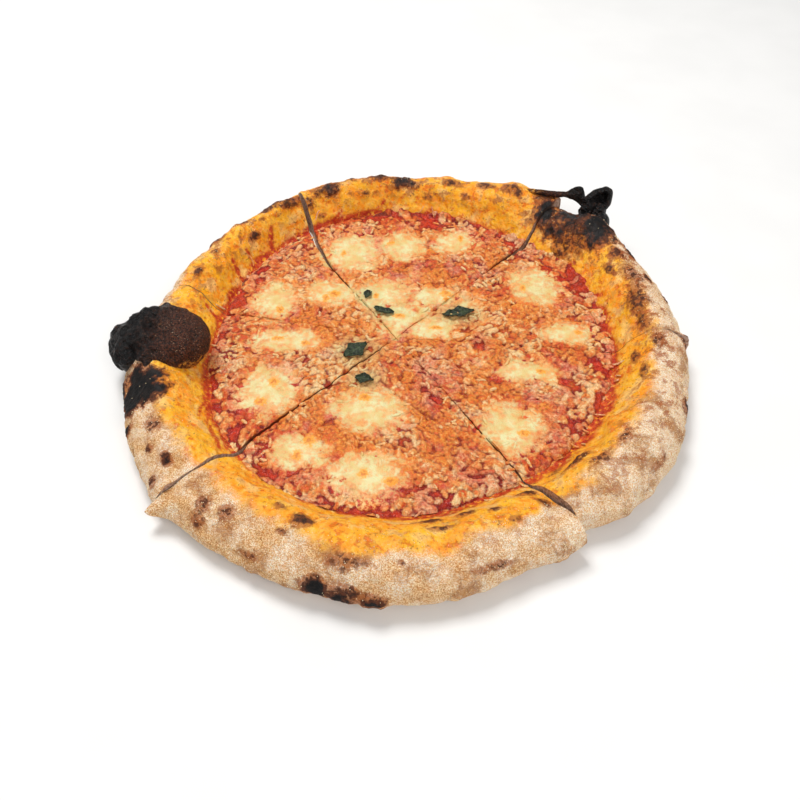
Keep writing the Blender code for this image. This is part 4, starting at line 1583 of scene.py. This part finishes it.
def loose_shreds(on_bed, on_rim):
    """Half-melted shreds over the bed and thin strings up the inner slope, as one piece."""
    parts, tint = [], []
    for number in range(on_bed + on_rim):
        angle = RANDOM.random() * 360
        slice_name = slice_at(angle)
        inner = float(around(angle, RIM_STATIONS[:, INNER]))
        if number < on_bed:
            radius = (inner - 3 * MM) * RANDOM.random() ** 0.4
            lean = RANDOM.random() * math.pi
            half, thick = RANDOM.uniform(1.2, 3.4) * MM, RANDOM.uniform(0.7, 1.15) * MM
        else:
            radius = inner + RANDOM.uniform(-2, 4) * MM
            lean = math.radians(angle) + RANDOM.uniform(-1.2, 1.2)
            half, thick = RANDOM.uniform(1.2, 3.4) * MM, RANDOM.uniform(0.45, 0.8) * MM
        path = shred_path(angle, radius, lean, half, RANDOM.uniform(-0.3, 0.3), slice_name)
        parts.append(shred(path, thick, slice_name))
        tint.append(np.full(len(parts[-1][0]), 0.35 + 0.65 * RANDOM.random() ** 0.7))
    points, faces = joined(parts)
    values = bed_values(points)
    values.update(cheese=1 + 0 * points[:, 0], tint=np.concatenate(tint), cut=0 * points[:, 0],
                  oil=0.5 * values["oil"], crevice=0 * points[:, 0])
    piece = make_piece("loose_shreds", points + CROSSING, faces, TOPPING_FINISH, values)


loose_shreds(on_bed=260, on_rim=22)

# %% [markdown]
# ## Flour grains
#
# Semolina and coarse flour from the bench stick to the rim. A grain is about half a millimetre
# across. Each is a small eight-sided crystal, turned at random, on a random place of the skin.

# %% Flour grains
def semolina():
    """Dry, pale yellow grains."""
    finish, tree, shader = new_finish("semolina_grains")
    colour = blend(tree, grain(tree, 3 * MM, 1.0), "F8E7C4", "EFD29A")
    set_inputs(tree, shader, Base_Color=colour, Roughness=0.8)
    return finish


def flour_grains(count):
    """Grains on the rim, most on floury skin."""
    spots = [np.concatenate([array.reshape(-1, array.shape[-1]) for array in arrays])
             for arrays in zip(*(spot[:2] for spot in RIM_SPOTS))]
    chance = np.concatenate([
        (ramp(across, 0.2, 0.6) * (1.1 - 0.85 * values["gold"])
         * (1 - 0.92 * np.minimum(values["burnt"], 1))).ravel()
        for _, _, values, across in RIM_SPOTS])
    chance = chance * (0.3 + ramp(noise(spots[0], 12 * MM, 66, 2), -0.2, 0.5))
    picked = RANDOM.choice(len(chance), count, p=chance / chance.sum())
    place, normal = spots[0][picked], spots[1][picked]
    # A grain slides along the skin from its point and sinks in by about a third.
    shift = RANDOM.uniform(-0.5, 0.5, place.shape) * MM
    shift -= np.sum(shift * normal, axis=1, keepdims=True) * normal
    place = place + shift + normal * 0.1 * MM
    turns = np.linalg.qr(RANDOM.normal(size=(count, 3, 3)))[0]
    turns[np.linalg.det(turns) < 0] *= -1
    size = RANDOM.uniform(0.18, 0.36, (count, 1, 3)) * MM
    corners = np.array(((1, 0, 0), (-1, 0, 0), (0, 1, 0), (0, -1, 0), (0, 0, 1), (0, 0, -1)), float)
    sides = np.array(((0, 2, 4), (2, 1, 4), (1, 3, 4), (3, 0, 4), (2, 0, 5), (1, 2, 5), (3, 1, 5),
                      (0, 3, 5)))
    points = np.einsum("nij,nkj->nki", turns, corners[None] * size) + place[:, None]
    faces = sides[None] + 6 * np.arange(count)[:, None, None]
    piece = make_piece("flour_grains", points.reshape(-1, 3) + CROSSING, faces.reshape(-1, 3),
                       semolina())


flour_grains(count=5000)
print(sum(COUNTS.values()), "triangles in all")

# %% [markdown]
# ## Floor, light and camera
#
# A plain pale floor and large soft lights keep the attention on the food. The main light stands
# behind and to the left, so that wet sauce glints toward the viewer. The camera looks down at the
# pizza as a person standing at the table does, 49 degrees below the level.

# %% Floor
def pale_floor():
    """A wide plain floor, painted in a matt pale grey with a faint mottle."""
    finish, tree, shader = new_finish("matt_pale_floor")
    colour = blend(tree, grain(tree, 60 * MM, 2.0), "E7E6E4", "EAE9E7")
    set_inputs(tree, shader, Base_Color=colour, Roughness=0.9)
    mesh = bpy.data.meshes.new("floor")
    wide = 6.0
    mesh.from_pydata([(-wide, -wide, 0), (wide, -wide, 0), (wide, wide, 0), (-wide, wide, 0)], [],
                     [(0, 1, 2, 3)])
    mesh.materials.append(finish)
    floor = bpy.data.objects.new("floor", mesh)
    bpy.context.scene.collection.objects.link(floor)


pale_floor()


# %% Lights
def soft_light(name, place, size, power):
    """A large square light that faces the pizza."""
    data = bpy.data.lights.new(name, "AREA")
    data.size = size
    data.energy = power
    lamp = bpy.data.objects.new(name, data)
    lamp.location = place
    lamp.rotation_euler = (-Vector(place)).to_track_quat("-Z", "Y").to_euler()
    bpy.context.scene.collection.objects.link(lamp)


soft_light("window", (-0.35, 0.5, 1.4), size=0.6, power=18)
soft_light("room", (0.5, -1.0, 1.1), size=0.9, power=10)
world = bpy.data.worlds.new("studio")
world.use_nodes = True
world.node_tree.nodes["Background"].inputs[0].default_value = linear("FFFFFF")
world.node_tree.nodes["Background"].inputs[1].default_value = 0.38
bpy.context.scene.world = world
bpy.context.scene.view_settings.view_transform = "Standard"

# %% Camera
CAMERA_FROM_CROSSING = Vector((0.0024, -0.3374, 0.3370))
LOOK_DOWN = 49.0
data = bpy.data.cameras.new("camera")
data.sensor_width = 36.0
data.lens = 34.65
camera = bpy.data.objects.new("camera", data)
camera.location = Vector(CROSSING) + CAMERA_FROM_CROSSING
camera.rotation_euler = (math.radians(90 - LOOK_DOWN), 0, 0)
bpy.context.scene.collection.objects.link(camera)
bpy.context.scene.camera = camera
print("camera at", np.round(np.array(camera.location), 3))
